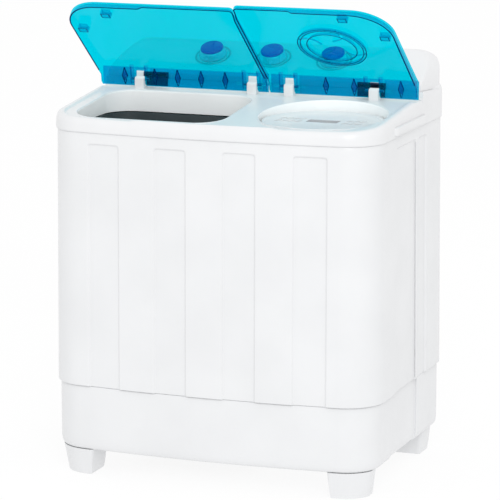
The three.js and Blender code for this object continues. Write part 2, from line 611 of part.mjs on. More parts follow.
function motorBracket() {
  const sheet = cut(box([-82, 32], [-18, 96], [205.4, 208.6]),
    bar(12, [WASH_MOTOR.x, WASH_MOTOR.y, 200], [WASH_MOTOR.x, WASH_MOTOR.y, 215]));
  const strutPlaces = [[26, 90, 299.6], [-76, 90, 299.6], [26, -12, 296]];
  const struts = strutPlaces.map(([x, y, top]) => bar(5, [x, y, 206], [x, y, top], 12));
  const hanger = box([-82, 32], [30, 96], [296.5, TUB_BOTTOM - GAP]);
  return join(sheet, ...struts, hanger);
}
add('motor_bracket', motorBracket(), STEEL);

// ---------------------------------------------------------------- spin tub and its drive
const BRAKE_PIVOT = { x: SPIN.x + 58, y: SPIN.y - 62 };

function spinOuterTub() {
  const [radius, low] = [OUTER_TUB_RADIUS, OUTER_TUB_BOTTOM];
  const cup = turned([
    [13, low], [radius - 12, low], [radius + 2.5, low + 12], [radius + 2.5, 596], [radius + 8, 598],
    [radius + 8, TUB_TOP], [radius, TUB_TOP], [radius, low + 13], [radius - 12, low + 3], [13, low + 3],
    [13, low]], SPIN_SIDES, SPIN);
  const { x, y } = BRAKE_PIVOT;
  const brakeStud = bar(4, [x, y, 240], [x, y, low + 1], 16);
  const studFoot = bar(7, [x, y, 236], [x, y, 241], 16);
  return join(cup, brakeStud, studFoot);
}
add('spin_outer_tub', spinOuterTub(), WHITE);

function spinBasket() {
  const [radius, low] = [BASKET_RADIUS, BASKET_BOTTOM];
  const cup = turned([
    [8.3, low], [radius - 8, low], [radius, low + 8], [radius, BASKET_TOP], [radius - 2, BASKET_TOP],
    [radius - 2, low + 9], [radius - 9, low + 2], [8.3, low + 2], [8.3, low]], SPIN_SIDES, SPIN);
  const drains = [0, 60, 120, 180, 240, 300].map((degrees) => bar(5, [70, 0, 340], [70, 0, 352], 10)
    .rotateZ(THREE.MathUtils.degToRad(degrees)).translate(SPIN.x, SPIN.y, 0));
  return cut(cup, ...drains);
}
add('spin_basket', spinBasket(), STEEL);
add('balance_ring', turned([
  [BASKET_RADIUS - 12, BASKET_TOP + GAP], [BASKET_RADIUS + 3, BASKET_TOP + GAP],
  [BASKET_RADIUS + 5, BASKET_TOP + 4], [BASKET_RADIUS + 5, 612], [BASKET_RADIUS + 2, 616],
  [BASKET_RADIUS - 12, 616], [BASKET_RADIUS - 12, BASKET_TOP + GAP]], SPIN_SIDES, SPIN), WHITE);

/** The drop-in cover of the spin basket: a slotted plate with a raised rim and a finger grip. */
function spinCover() {
  const plate = turned([
    [0, 616.5], [82, 616.5], [82, 610], [84, 610], [84, 616.3], [101, 616.3], [104, 618], [104, 621],
    [100, 623], [95, 620.5], [0, 620.5]], SPIN_SIDES, SPIN);
  const slot = (x, y) => box([-2.5, 2.5], [-9, 9], [600, 640]).rotateZ(-0.5)
    .translate(SPIN.x + x, SPIN.y + y, 0);
  const slots = [-76, -64, -52, -40, 42, 54, 66].flatMap((x) => [slot(x, -12), slot(x, 14)]);
  const cup = box([-30, 30], [-16, 16], [608, 618]).translate(SPIN.x, SPIN.y, 0);
  const well = box([-27.5, 27.5], [-13.5, 13.5], [610.5, 640]).translate(SPIN.x, SPIN.y, 0);
  return cut(join(cut(plate, ...slots), cup), well);
}
add('spin_cover', spinCover(), WHITE);

add('spin_shaft', turned([[0, 192], [8, 192], [8, 356], [0, 356]], 20, SPIN), STEEL);
add('brake_drum', turned([
  [8.3, 236], [50, 236], [50, 256], [46, 256], [46, 240], [20, 240], [20, 262], [8.3, 262],
  [8.3, 236]], 24, SPIN), CAST);
add('shaft_seal', turned([
  [9, 300], [20, 300], [26, 306], [19, 311], [26, 316], [19, 320], [24, 324.5], [9, 324.5],
  [9, 300]], 16, SPIN), BLACK);
add('spin_motor', motor(50, 96, 186, 191, SPIN), CAST);

const MOUNT_RING = 70;
const mountAngles = [90, 210, 330];
function springMount(degrees) {
  const foot = BASE_FLOOR + 0.5;
  return turned([[0, foot], [14, foot], [14, foot + 6], [10, 66], [10, 78], [14, 84], [14, 89], [0, 89]], 12, {
    x: SPIN.x + MOUNT_RING * Math.cos(THREE.MathUtils.degToRad(degrees)),
    y: SPIN.y + MOUNT_RING * Math.sin(THREE.MathUtils.degToRad(degrees)),
  });
}
mountAngles.forEach((degrees, i) => add(`motor_spring_mount_${i + 1}`, springMount(degrees), BLACK));

function motorPlate() {
  const disc = turned([[16, 89.4], [56, 89.4], [56, 93], [16, 93], [16, 89.4]], 32, SPIN);
  const ears = mountAngles.map((degrees) => box([40, 86], [-13, 13], [89.4, 93])
    .rotateZ(THREE.MathUtils.degToRad(degrees)).translate(SPIN.x, SPIN.y, 0));
  return join(disc, ...ears);
}
add('spin_motor_plate', motorPlate(), STEEL);

function brakeLever() {
  const arm = box([BRAKE_PIVOT.x - 4, BRAKE_PIVOT.x + 6], [BRAKE_PIVOT.y, SPIN.y + 60], [243, 249]);
  const shoe = cut(box([SPIN.x + 40, BRAKE_PIVOT.x], [SPIN.y - 16, SPIN.y + 16], [241, 251]),
    bar(54.8, [SPIN.x, SPIN.y, 230], [SPIN.x, SPIN.y, 260], 36));
  const { x, y } = BRAKE_PIVOT;
  const eye = bar(9, [x, y, 242], [x, y, 250]);
  return cut(join(arm, shoe, eye), bar(4.4, [x, y, 230], [x, y, 260]));
}
add('brake_lever', brakeLever(), STEEL);

// ---------------------------------------------------------------- drain and electrics
const VALVE = { x: -3, y: 146 };
function drainValveBox() {
  const body = box([VALVE.x - 26, VALVE.x + 26], [VALVE.y - 26, VALVE.y + 26], [292, 350]);
  const inletPipe = bar(12, [-15, 46, 322], [-15, VALVE.y - 20, 322], 20);
  const outletPipe = bar(12, [VALVE.x, VALVE.y, 270], [VALVE.x, VALVE.y, 300], 20);
  const chamber = bar(19, [VALVE.x, VALVE.y, 297], [VALVE.x, VALVE.y, 360], 24);
  const inletBore = bar(9, [-15, 40, 322], [-15, VALVE.y, 322], 20);
  const outletBore = bar(9, [VALVE.x, VALVE.y, 260], [VALVE.x, VALVE.y, 300], 20);
  return cut(join(body, inletPipe, outletPipe), chamber, inletBore, outletBore);
}
add('drain_valve_box', drainValveBox(), GREY);
add('drain_valve_plunger', turned([
  [0, 300], [14, 300], [14, 306], [6, 310], [6, 318], [2, 320], [2, 636], [0, 636]], 20, VALVE), BLACK);

function drainHose() {
  const route = new THREE.CatmullRomCurve3([
    new THREE.Vector3(VALVE.x, VALVE.y, 269.6), new THREE.Vector3(VALVE.x, VALVE.y, 245),
    new THREE.Vector3(-40, 158, 190), new THREE.Vector3(-110, 166, 135), new THREE.Vector3(-175, 160, 100),
    new THREE.Vector3(SPIGOT.x, 176, SPIGOT.z), new THREE.Vector3(SPIGOT.x, 187, SPIGOT.z)]);
  const section = new THREE.Shape().absarc(0, 0, 11, 0, 2 * Math.PI);
  section.holes.push(new THREE.Path().absarc(0, 0, 9, 0, 2 * Math.PI));
  return new THREE.ExtrudeGeometry(section, { steps: 14, curveSegments: 4, extrudePath: route });
}
add('drain_hose', drainHose(), GREY);

/** A collar through the base's rear wall: bore, barrel and outside flange. */
function rearCollar({ x, z }, bore, barrel, flange, insideY) {
  const face = DEPTH / 2 - 3;
  return turned([
    [bore, insideY], [barrel, insideY], [barrel, face + GAP], [flange, face + GAP], [flange, DEPTH / 2 - 0.5],
    [bore, DEPTH / 2 - 0.5], [bore, insideY]], 20).rotateX(-Math.PI / 2).translate(x, 0, z);
}
add('drain_spigot', rearCollar(SPIGOT, 11, 14, 18, 187.3), GREY);
add('cord_gland', rearCollar(GLAND, 4, 8, 12, 196), BLACK);
add('capacitor', join(bar(20, [90, 150, 300], [90, 150, 375]), box([84, 96], [165, 172], [300, 375])), GREY);

export default washer;
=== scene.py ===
import json
import math
from collections import namedtuple

import bmesh
import bpy
from mathutils import Matrix, Vector


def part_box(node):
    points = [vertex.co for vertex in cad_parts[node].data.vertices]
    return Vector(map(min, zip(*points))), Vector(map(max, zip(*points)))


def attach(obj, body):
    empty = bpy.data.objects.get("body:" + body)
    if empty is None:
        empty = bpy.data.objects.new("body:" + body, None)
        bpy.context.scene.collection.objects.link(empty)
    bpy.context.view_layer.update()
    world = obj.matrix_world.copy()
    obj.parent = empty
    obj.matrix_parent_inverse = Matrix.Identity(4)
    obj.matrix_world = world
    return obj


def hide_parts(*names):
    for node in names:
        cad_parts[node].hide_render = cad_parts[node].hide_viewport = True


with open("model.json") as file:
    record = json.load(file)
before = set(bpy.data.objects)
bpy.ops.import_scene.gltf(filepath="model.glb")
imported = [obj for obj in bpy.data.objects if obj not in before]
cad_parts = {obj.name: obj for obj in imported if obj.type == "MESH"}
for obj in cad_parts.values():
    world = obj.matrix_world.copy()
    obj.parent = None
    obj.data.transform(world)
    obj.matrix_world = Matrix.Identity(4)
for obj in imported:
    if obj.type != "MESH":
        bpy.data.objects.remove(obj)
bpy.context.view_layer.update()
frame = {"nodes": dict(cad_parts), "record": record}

nodes = frame["nodes"]

# ---------------------------------------------------------------- driving dimensions
WIDTH = 0.590
DEPTH = 0.412
FRONT_BOW = 0.020  # how far the middle of the front stands out past its ends
FRONT_RADIUS = 0.068
REAR_RADIUS = 0.018
WALL = 0.003

BASE_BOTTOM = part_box("base_skirt")[0].z
BASE_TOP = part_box("base_skirt")[1].z
SHELL_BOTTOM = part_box("cabinet_shell")[0].z
SHELL_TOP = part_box("cabinet_shell")[1].z
RIM_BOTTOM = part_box("top_cover")[0].z
RIM_FRONT = 0.6235  # crest of the rim at the front
RIM_SLOPE = math.tan(math.radians(5.2))
DECK_DROP = 0.004  # the deck lies this far below the rim's crest
PLINTH_FRONT_Y = 0.078
PLINTH_TOP = 0.658
PLINTH_FALL = 0.07

FLUTE_CENTRES = (-0.185, -0.0617, 0.0617, 0.185)
FLUTE_HALF = 0.0285
FLUTE_TOP = 0.580
RELIEF = 0.003
RELIEF_EDGE = 0.0018
RELIEF_CORNER = 0.005
SHELL_RECESSES = ((-0.062, 0.049), (0.061, 0.109))
BASE_RECESSES = ((-0.071, 0.068),)

HINGE = Vector((0, 0.056, 0.659))
LID_REST = math.radians(37)
LID_TOP = 0.018
LID_THICK = 0.0025
LID_REAR = 0.008
WASH_LID = (-0.292, 0.0205, -0.233)  # left, right and front, drawn level about the hinge axis
SPIN_LID = (0.0235, 0.292, -0.241)
POST_WIDTH = 0.017
POSTS_X = (-0.218, -0.008, 0.060, 0.214)
PIN_RADIUS = 0.0022
BARREL_RADIUS = 0.0052

WASH_OPENING = (-0.260, 0.010, -0.165, 0.040)
WASH_CORNER = 0.048
COLLAR_BOTTOM = 0.604
SPIN = Vector((0.163, -0.065, 0))
SPIN_OPENING_RADIUS = 0.109
PULSATOR = Vector((-0.125, -0.062, 0))

PANEL_ANGLE = math.radians(25)
KNOB_FOOT = Vector((0, 0.136, 0.696))
KNOBS = {"wash_timer": -0.112, "selector": 0.001, "spin_timer": 0.114}

# ---------------------------------------------------------------- making meshes
def smooth(low, high, value):
    """0 at low, 1 at high, with a soft start and end."""
    t = min(max((value - low) / (high - low), 0), 1)
    return t * t * (3 - 2 * t)


def spaced(start, stop, step):
    """Evenly spaced numbers from start to stop, both included."""
    count = max(1, round(abs(stop - start) / step))
    return [start + (stop - start) * i / count for i in range(count + 1)]


def solid(name, points, faces):
    mesh = bpy.data.meshes.new(name)
    mesh.from_pydata(points, [], faces)
    mesh.validate()
    obj = bpy.data.objects.new(name, mesh)
    bpy.context.scene.collection.objects.link(obj)
    return obj


def loft(name, rings, wrap=False, capped=True):
    """Rings of points joined side to side. wrap joins the last ring to the first, capped closes both ends."""
    count = len(rings[0])
    points = [p for ring in rings for p in ring]
    faces = []
    for r in range(len(rings) if wrap else len(rings) - 1):
        low, high = r * count, (r + 1) % len(rings) * count
        for i in range(count):
            j = (i + 1) % count
            faces.append((low + i, low + j, high + j, high + i))
    if capped and not wrap:
        last = (len(rings) - 1) * count
        faces.append(tuple(reversed(range(count))))
        faces.append(tuple(range(last, last + count)))
    return solid(name, points, faces)


def lathe(name, profile, centre=Vector(), segments=96):
    """A profile of (radius, z) turned about the Z axis. A radius of 0 closes that end."""
    points, faces, rows = [], [], []
    for radius, z in profile:
        if radius == 0:
            rows.append([len(points)] * segments)
            points.append((centre.x, centre.y, centre.z + z))
            continue
        rows.append(list(range(len(points), len(points) + segments)))
        for i in range(segments):
            angle = 2 * math.pi * i / segments
            points.append((
                centre.x + radius * math.cos(angle), centre.y + radius * math.sin(angle), centre.z + z))
    closed = profile[0] == profile[-1] and profile[0][0] > 0
    if closed:
        rows[-1] = rows[0]
    for low, high in zip(rows, rows[1:]):
        for i in range(segments):
            j = (i + 1) % segments
            corners = list(dict.fromkeys((low[i], low[j], high[j], high[i])))
            if len(corners) > 2:
                faces.append(corners)
    return solid(name, points, faces)


def block(name, xs, ys, zs):
    (x0, x1), (y0, y1), (z0, z1) = xs, ys, zs
    plan = [(x0, y0), (x1, y0), (x1, y1), (x0, y1)]
    return loft(name, [[(x, y, z) for x, y in plan] for z in (z0, z1)])


def across_x(name, outline, x0, x1):
    """An outline of (y, z) points drawn out along X."""
    return loft(name, [[(x, y, z) for y, z in outline] for x in (x0, x1)])


def arc(cx, cy, radius, start, end, steps):
    angles = [start + (end - start) * i / steps for i in range(steps + 1)]
    return [(cx + radius * math.cos(a), cy + radius * math.sin(a)) for a in angles]


def rounded_box(x0, x1, y0, y1, radii, inset=0.0, steps=12, straight=0.012):
    """A rectangle with a radius for each corner: front right, rear right, rear left, front left."""
    least = 0.0004
    fr, rr, rl, fl = (max(r - inset, least) for r in radii)
    l, r, f, b = x0 + inset, x1 - inset, y0 + inset, y1 - inset
    quarter = math.pi / 2
    corners = [
        arc(r - fr, f + fr, fr, -quarter, 0, steps),
        arc(r - rr, b - rr, rr, 0, quarter, steps),
        arc(l + rl, b - rl, rl, quarter, 2 * quarter, steps),
        arc(l + fl, f + fl, fl, 2 * quarter, 3 * quarter, steps),
    ]
    sides = [y1 - y0, x1 - x0, y1 - y0, x1 - x0]
    outline = []
    for i, corner in enumerate(corners):
        outline += corner
        a, b2 = Vector(corner[-1]), Vector(corners[(i + 1) % 4][0])
        pieces = round(sides[i] / straight)
        outline += [tuple(a.lerp(b2, k / pieces)) for k in range(1, pieces)]
    return outline


def at(outline, height):
    """The outline's points at a height, or at a height worked out from x and y."""
    return [(x, y, height(x, y) if callable(height) else height) for x, y in outline]


def apply_modifiers(obj):
    graph = bpy.context.evaluated_depsgraph_get()
    mesh = bpy.data.meshes.new_from_object(obj.evaluated_get(graph))
    obj.modifiers.clear()
    obj.data = mesh
    return obj


def combine(operation, target, others):
    """Joins (UNION), cuts (DIFFERENCE) or intersects (INTERSECT) a solid with others, which are used up."""
    for other in others:
        modifier = target.modifiers.new(operation, "BOOLEAN")
        modifier.operation = operation
        modifier.solver = "EXACT"
        modifier.object = other
    apply_modifiers(target)
    for other in others:
        bpy.data.objects.remove(other)
    return target


def joined(target, *others):
    return combine("UNION", target, others)


def cut(target, *others):
    return combine("DIFFERENCE", target, others)


def bevel(obj, width, segments=3, angle=35):
    modifier = obj.modifiers.new("bevel", "BEVEL")
    modifier.width = width
    modifier.segments = segments
    modifier.limit_method = "ANGLE"
    modifier.angle_limit = math.radians(angle)
    modifier.harden_normals = False
    return apply_modifiers(obj)


def smoothed(obj, angle=32):
    """Soft shading, with an edge kept wherever the surface turns by more than the angle."""
    obj.data.shade_smooth()
    obj.data.set_sharp_from_angle(angle=math.radians(angle))
    return obj


def outward(obj):
    mesh = bmesh.new()
    mesh.from_mesh(obj.data)
    bmesh.ops.recalc_face_normals(mesh, faces=mesh.faces)
    mesh.to_mesh(obj.data)
    mesh.free()
    return obj


def piece(obj, body, materials, replaces=()):
    """Finishes a piece: its materials, the body that it rides on and the CAD nodes that it stands for."""
    for material in materials:
        obj.data.materials.append(material)
    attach(obj, body)
    if replaces:
        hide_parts(*replaces)
    return obj


# ---------------------------------------------------------------- materials
def new_material(name):
    material = bpy.data.materials.new(name)
    material.use_nodes = True
    tree = material.node_tree
    tree.nodes.clear()
    return material, tree


def noise(tree, scale, detail=3.0, stretch=None):
    """Noise in the object's own space, so that its grain has a real size."""
    coordinates = tree.nodes.new("ShaderNodeTexCoord")
    texture = tree.nodes.new("ShaderNodeTexNoise")
    texture.inputs["Scale"].default_value = scale
    texture.inputs["Detail"].default_value = detail
    source = coordinates.outputs["Object"]
    if stretch:
        mapping = tree.nodes.new("ShaderNodeMapping")
        mapping.inputs["Scale"].default_value = stretch
        tree.links.new(source, mapping.inputs["Vector"])
        source = mapping.outputs["Vector"]
    tree.links.new(source, texture.inputs["Vector"])
    return texture.outputs["Fac"]


def ramp(tree, value, low, high, first=0.35, last=0.65):
    """Turns noise into a colour between two others."""
    node = tree.nodes.new("ShaderNodeValToRGB")
    node.color_ramp.elements[0].position = first
    node.color_ramp.elements[0].color = (*low, 1)
    node.color_ramp.elements[1].position = last
    node.color_ramp.elements[1].color = (*high, 1)
    tree.links.new(value, node.inputs["Fac"])
    return node.outputs["Color"]


def between(tree, value, low, high):
    """Turns noise into a number between two others."""
    node = tree.nodes.new("ShaderNodeMapRange")
    node.inputs["From Min"].default_value = 0.3
    node.inputs["From Max"].default_value = 0.7
    node.inputs["To Min"].default_value = low
    node.inputs["To Max"].default_value = high
    tree.links.new(value, node.inputs["Value"])
    return node.outputs["Result"]


def surface(
        name, colours, roughness, metallic=0.0, grain=900.0, bump=0.02, coat=0.0, stretch=None,
        blotch=9.0):
    """Moulded plastic, paint, rubber or metal: colour and gloss that wander a little, and a fine grain."""
    material, tree = new_material(name)
    shader = tree.nodes.new("ShaderNodeBsdfPrincipled")
    output = tree.nodes.new("ShaderNodeOutputMaterial")
    tree.links.new(shader.outputs["BSDF"], output.inputs["Surface"])
    shader.inputs["Metallic"].default_value = metallic
    shader.inputs["Coat Weight"].default_value = coat
    shader.inputs["Coat Roughness"].default_value = 0.12
    wander = noise(tree, blotch, stretch=stretch)
    tree.links.new(ramp(tree, wander, *colours), shader.inputs["Base Color"])
    tree.links.new(
        between(tree, noise(tree, 5 * blotch, stretch=stretch), *roughness), shader.inputs["Roughness"])
    relief = tree.nodes.new("ShaderNodeBump")
    relief.inputs["Strength"].default_value = bump
    relief.inputs["Distance"].default_value = 0.0004
    tree.links.new(noise(tree, grain, 2.0, stretch), relief.inputs["Height"])
    tree.links.new(relief.outputs["Normal"], shader.inputs["Normal"])
    return material


def tinted(name, tint, light_tint, body_colour, body_share, gloss=0.04):
    """Clear coloured plastic: the view through it is tinted, and light passing through only a little."""
    material, tree = new_material(name)
    path = tree.nodes.new("ShaderNodeLightPath")
    lighting = tree.nodes.new("ShaderNodeMath")
    lighting.operation = "MAXIMUM"
    tree.links.new(path.outputs["Is Shadow Ray"], lighting.inputs[0])
    tree.links.new(path.outputs["Is Diffuse Ray"], lighting.inputs[1])
    seen = tree.nodes.new("ShaderNodeBsdfTransparent")
    seen.inputs["Color"].default_value = (*tint, 1)
    lit = tree.nodes.new("ShaderNodeBsdfTransparent")
    lit.inputs["Color"].default_value = (*light_tint, 1)
    scatter = tree.nodes.new("ShaderNodeBsdfDiffuse")
    tree.links.new(
        ramp(tree, noise(tree, 14.0), body_colour, [1.12 * c for c in body_colour]), scatter.inputs["Color"])
    shine = tree.nodes.new("ShaderNodeBsdfGlossy")
    shine.inputs["Color"].default_value = (1, 1, 1, 1)
    tree.links.new(between(tree, noise(tree, 60.0), gloss, 1.6 * gloss), shine.inputs["Roughness"])
    wave = tree.nodes.new("ShaderNodeBump")
    wave.inputs["Strength"].default_value = 0.05
    wave.inputs["Distance"].default_value = 0.001
    tree.links.new(noise(tree, 45.0, 1.0), wave.inputs["Height"])
    tree.links.new(wave.outputs["Normal"], shine.inputs["Normal"])
    facing = tree.nodes.new("ShaderNodeLayerWeight")
    facing.inputs["Blend"].default_value = 0.5
    glancing = tree.nodes.new("ShaderNodeMath")
    glancing.operation = "POWER"
    glancing.inputs[1].default_value = 5.0
    tree.links.new(facing.outputs["Facing"], glancing.inputs[0])
    mirror = tree.nodes.new("ShaderNodeMath")
    mirror.operation = "MULTIPLY_ADD"
    mirror.inputs[1].default_value = 0.16
    mirror.inputs[2].default_value = 0.004
    tree.links.new(glancing.outputs["Value"], mirror.inputs[0])
    inner = tree.nodes.new("ShaderNodeMixShader")
    inner.inputs["Fac"].default_value = body_share
    tree.links.new(seen.outputs["BSDF"], inner.inputs[1])
    tree.links.new(scatter.outputs["BSDF"], inner.inputs[2])
    outer = tree.nodes.new("ShaderNodeMixShader")
    tree.links.new(mirror.outputs["Value"], outer.inputs["Fac"])
    tree.links.new(inner.outputs["Shader"], outer.inputs[1])
    tree.links.new(shine.outputs["BSDF"], outer.inputs[2])
    chosen = tree.nodes.new("ShaderNodeMixShader")
    tree.links.new(lighting.outputs["Value"], chosen.inputs["Fac"])
    tree.links.new(outer.outputs["Shader"], chosen.inputs[1])
    tree.links.new(lit.outputs["BSDF"], chosen.inputs[2])
    output = tree.nodes.new("ShaderNodeOutputMaterial")
    tree.links.new(chosen.outputs["Shader"], output.inputs["Surface"])
    return material


WHITE = surface(
    "white_plastic", ((0.715, 0.722, 0.733), (0.74, 0.747, 0.758)), (0.30, 0.38), bump=0.03, coat=0.10)
SLATE = surface("dark_tub", ((0.045, 0.06, 0.065), (0.06, 0.075, 0.08)), (0.40, 0.50))
NAVY = surface("navy_plastic", ((0.010, 0.016, 0.06), (0.014, 0.022, 0.08)), (0.30, 0.40))
BLUE = surface("blue_plastic", ((0.006, 0.060, 0.42), (0.008, 0.080, 0.50)), (0.22, 0.30), coat=0.1)
# Painted light: the walls inside the openings get a brighter white than the rest of the plastic, standing in
# for light that their shade takes away.
PAINTED_LIGHT_WALL = surface("painted_light_inner_wall", ((0.90, 0.915, 0.92), (0.93, 0.945, 0.95)), (0.30, 0.38), bump=0.02)
PEARL = surface("pearl_plastic", ((0.60, 0.66, 0.74), (0.68, 0.74, 0.80)), (0.22, 0.30), metallic=0.25)
GREY = surface("grey_plastic", ((0.30, 0.32, 0.33), (0.36, 0.38, 0.39)), (0.42, 0.52))
# Painted shade: a grey that stands in for the shade round each knob's foot and in the spin cover's finger
# well.
PAINTED_SHADE = surface("painted_shade_plastic", ((0.42, 0.44, 0.46), (0.48, 0.50, 0.52)), (0.40, 0.50))
RUBBER = surface(
    "black_rubber", ((0.012, 0.012, 0.013), (0.022, 0.022, 0.023)), (0.60, 0.75), grain=500.0, bump=0.10)
STEEL = surface(
    "steel", ((0.46, 0.47, 0.48), (0.58, 0.59, 0.60)), (0.24, 0.38), 1.0,
    grain=1600.0, bump=0.08, stretch=(1, 1, 12))
CAST = surface(
    "cast_alloy", ((0.30, 0.31, 0.32), (0.40, 0.41, 0.42)), (0.48, 0.62), 0.9, grain=420.0, bump=0.25)
LID_CLEAR = tinted("tinted_lid", (0.0, 0.81, 0.91), (0.92, 0.985, 0.99), (0.0, 0.62, 0.76), 0.05)
# Painted shade: the lid's down-facing edges and rib sides get a dark, mostly opaque navy in place of the dark
# lines that the clear plastic's edges show.
LID_PAINTED_EDGE_SHADE = tinted("tinted_lid_painted_edge_shade", (0.0, 0.03, 0.16), (0.60, 0.84, 0.90), (0.0, 0.02, 0.12), 0.6)
LID_RIB = tinted("tinted_lid_rib", (0.0, 0.58, 0.80), (0.88, 0.97, 0.98), (0.0, 0.30, 0.55), 0.06)

# ---------------------------------------------------------------- the machine's footprint
BOW_RADIUS = ((WIDTH / 2) ** 2 + FRONT_BOW ** 2) / (2 * FRONT_BOW)
BOW_CENTRE_Y = -DEPTH / 2 + BOW_RADIUS
CORNER = Vector((
    WIDTH / 2 - FRONT_RADIUS,
    BOW_CENTRE_Y - math.sqrt((BOW_RADIUS - FRONT_RADIUS) ** 2 - (WIDTH / 2 - FRONT_RADIUS) ** 2)))
Column = namedtuple("Column", "x y nx ny wall along")


def stations(start, stop, step, marks):
    """Positions along a wall, packed closely on both sides of each mark."""
    near = [m + k * RELIEF_EDGE / 2 for m in marks for k in range(-4, 5)]
    packed = [p for p in near if start < p < stop]
    clear = 3 * RELIEF_EDGE
    free = [p for p in spaced(start, stop, step) if all(abs(p - m) > clear for m in marks)]
    return sorted(set(packed + free), reverse=start > stop)


def perimeter(front_marks=(), side_marks=(), step=0.008):
    """Columns round the footprint: a place, its outward normal, its wall and its position along that wall."""
    reach = math.atan2(CORNER.y - BOW_CENTRE_Y, CORNER.x)
    bow_end = BOW_RADIUS * math.cos(reach)
    right = []
    for x in stations(0, bow_end - 0.001, step, front_marks):
        y = BOW_CENTRE_Y - math.sqrt(BOW_RADIUS ** 2 - x ** 2)
        right.append(Column(x, y, x / BOW_RADIUS, (y - BOW_CENTRE_Y) / BOW_RADIUS, "front", x))
    for i in range(21):
        angle = reach * (1 - i / 20)
        nx, ny = math.cos(angle), math.sin(angle)
        right.append(Column(CORNER.x + FRONT_RADIUS * nx, CORNER.y + FRONT_RADIUS * ny, nx, ny, "corner", 0))
    rear = DEPTH / 2 - REAR_RADIUS
    for y in stations(CORNER.y + 0.004, rear - 0.002, 1.5 * step, side_marks):
        right.append(Column(WIDTH / 2, y, 1, 0, "side", y))
    for i in range(9):
        angle = math.pi / 2 * i / 8
        nx, ny = math.cos(angle), math.sin(angle)
        x = WIDTH / 2 - REAR_RADIUS + REAR_RADIUS * nx
        right.append(Column(x, rear + REAR_RADIUS * ny, nx, ny, "rear", x))
    for x in spaced(WIDTH / 2 - REAR_RADIUS - 0.01, 0, 3 * step)[:-1]:
        right.append(Column(x, DEPTH / 2, 0, 1, "rear", x))
    left = [
        c._replace(x=-c.x, nx=-c.nx, along=-c.along if c.wall != "side" else c.along)
        for c in reversed(right[1:])]
    return right + [Column(0, DEPTH / 2, 0, 1, "rear", 0)] + left


def ring(columns, inset, height, rear=None):
    """The footprint moved inwards, at a height. Both may be worked out from the column."""
    points = []
    for c in columns:
        depth = inset(c) if callable(inset) else inset
        back = depth if rear is None or c.ny <= 0 else rear
        z = height(c) if callable(height) else height
        points.append((c.x - c.nx * depth, c.y - c.ny * back, z))
    return points


def panel_relief(column, z, flutes, recesses, top):
    """How deep the sunk panels lie at a column and height."""
    if column.wall == "front":
        spans = [(f - FLUTE_HALF, f + FLUTE_HALF) for f in flutes]
    elif column.wall == "side":
        spans = recesses
    else:
        return 0.0
    depth = 0.0
    for low, high in spans:
        across = abs(column.along - (low + high) / 2) - (high - low) / 2 + RELIEF_CORNER
        above = z - top + RELIEF_CORNER
        corner = math.hypot(max(across, 0), max(above, 0))
        distance = corner + min(max(across, above), 0) - RELIEF_CORNER
        depth = max(depth, RELIEF * smooth(RELIEF_EDGE, -RELIEF_EDGE, distance))
    return depth


# ---------------------------------------------------------------- base and cabinet
def base_skin():
    marks = [y for span in BASE_RECESSES for y in span]
    columns = perimeter(side_marks=marks)

    def inset(amount):
        return lambda c: amount + panel_relief(c, 0, (), BASE_RECESSES, 1)

    profile = [
        (0.0135, 0.0), (0.0108, 0.0005), (0.0087, 0.0017), (0.0073, 0.0034), (0.0062, 0.0058),
        (0.0054, 0.009), (0.0048, 0.0135), (0.0045, 0.020)]
    height = BASE_TOP - BASE_BOTTOM
    rows = profile + [(0.0045, z) for z in spaced(0.03, height - 0.002, 0.016)] + [
        (0.0046, height - 0.0008), (0.0051, height - 0.0001), (0.0057, height), (0.0075, height),
        (0.0075, height / 2), (0.010, 0.0052)]
    rings = [ring(columns, inset(a), BASE_BOTTOM + z) for a, z in rows]
    base = outward(loft("base_skin", rings))
    low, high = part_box("bottom_guard")
    margin = 0.015
    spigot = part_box("drain_spigot")
    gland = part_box("cord_gland")
    vent = block("vent", (low.x + margin, high.x - margin), (low.y + margin, high.y - margin), (0.04, 0.07))
    holes = [vent]
    groove, reach = 0.003, WIDTH / 2 - 0.0075
    for y in BASE_RECESSES[0]:
        for side in (-1, 1):
            xs = sorted((side * (reach + 0.0006), side * 0.31))
            holes.append(block(
                "groove", xs, (y - groove / 2, y + groove / 2), (BASE_BOTTOM + 0.008, BASE_TOP + 0.01)))
    for (low, high), radius in ((spigot, 0.0144), (gland, 0.0083)):
        middle = (low + high) / 2
        hole = lathe("hole", [(0, -0.02), (radius, -0.02), (radius, 0.02), (0, 0.02)], segments=48)
        hole.data.transform(
            Matrix.Translation((middle.x, 0.2, middle.z)) @ Matrix.Rotation(math.pi / 2, 4, "X"))
        holes.append(outward(hole))
    cut(base, *holes)
    return piece(smoothed(base), "cabinet", [WHITE], ["base_skirt"])


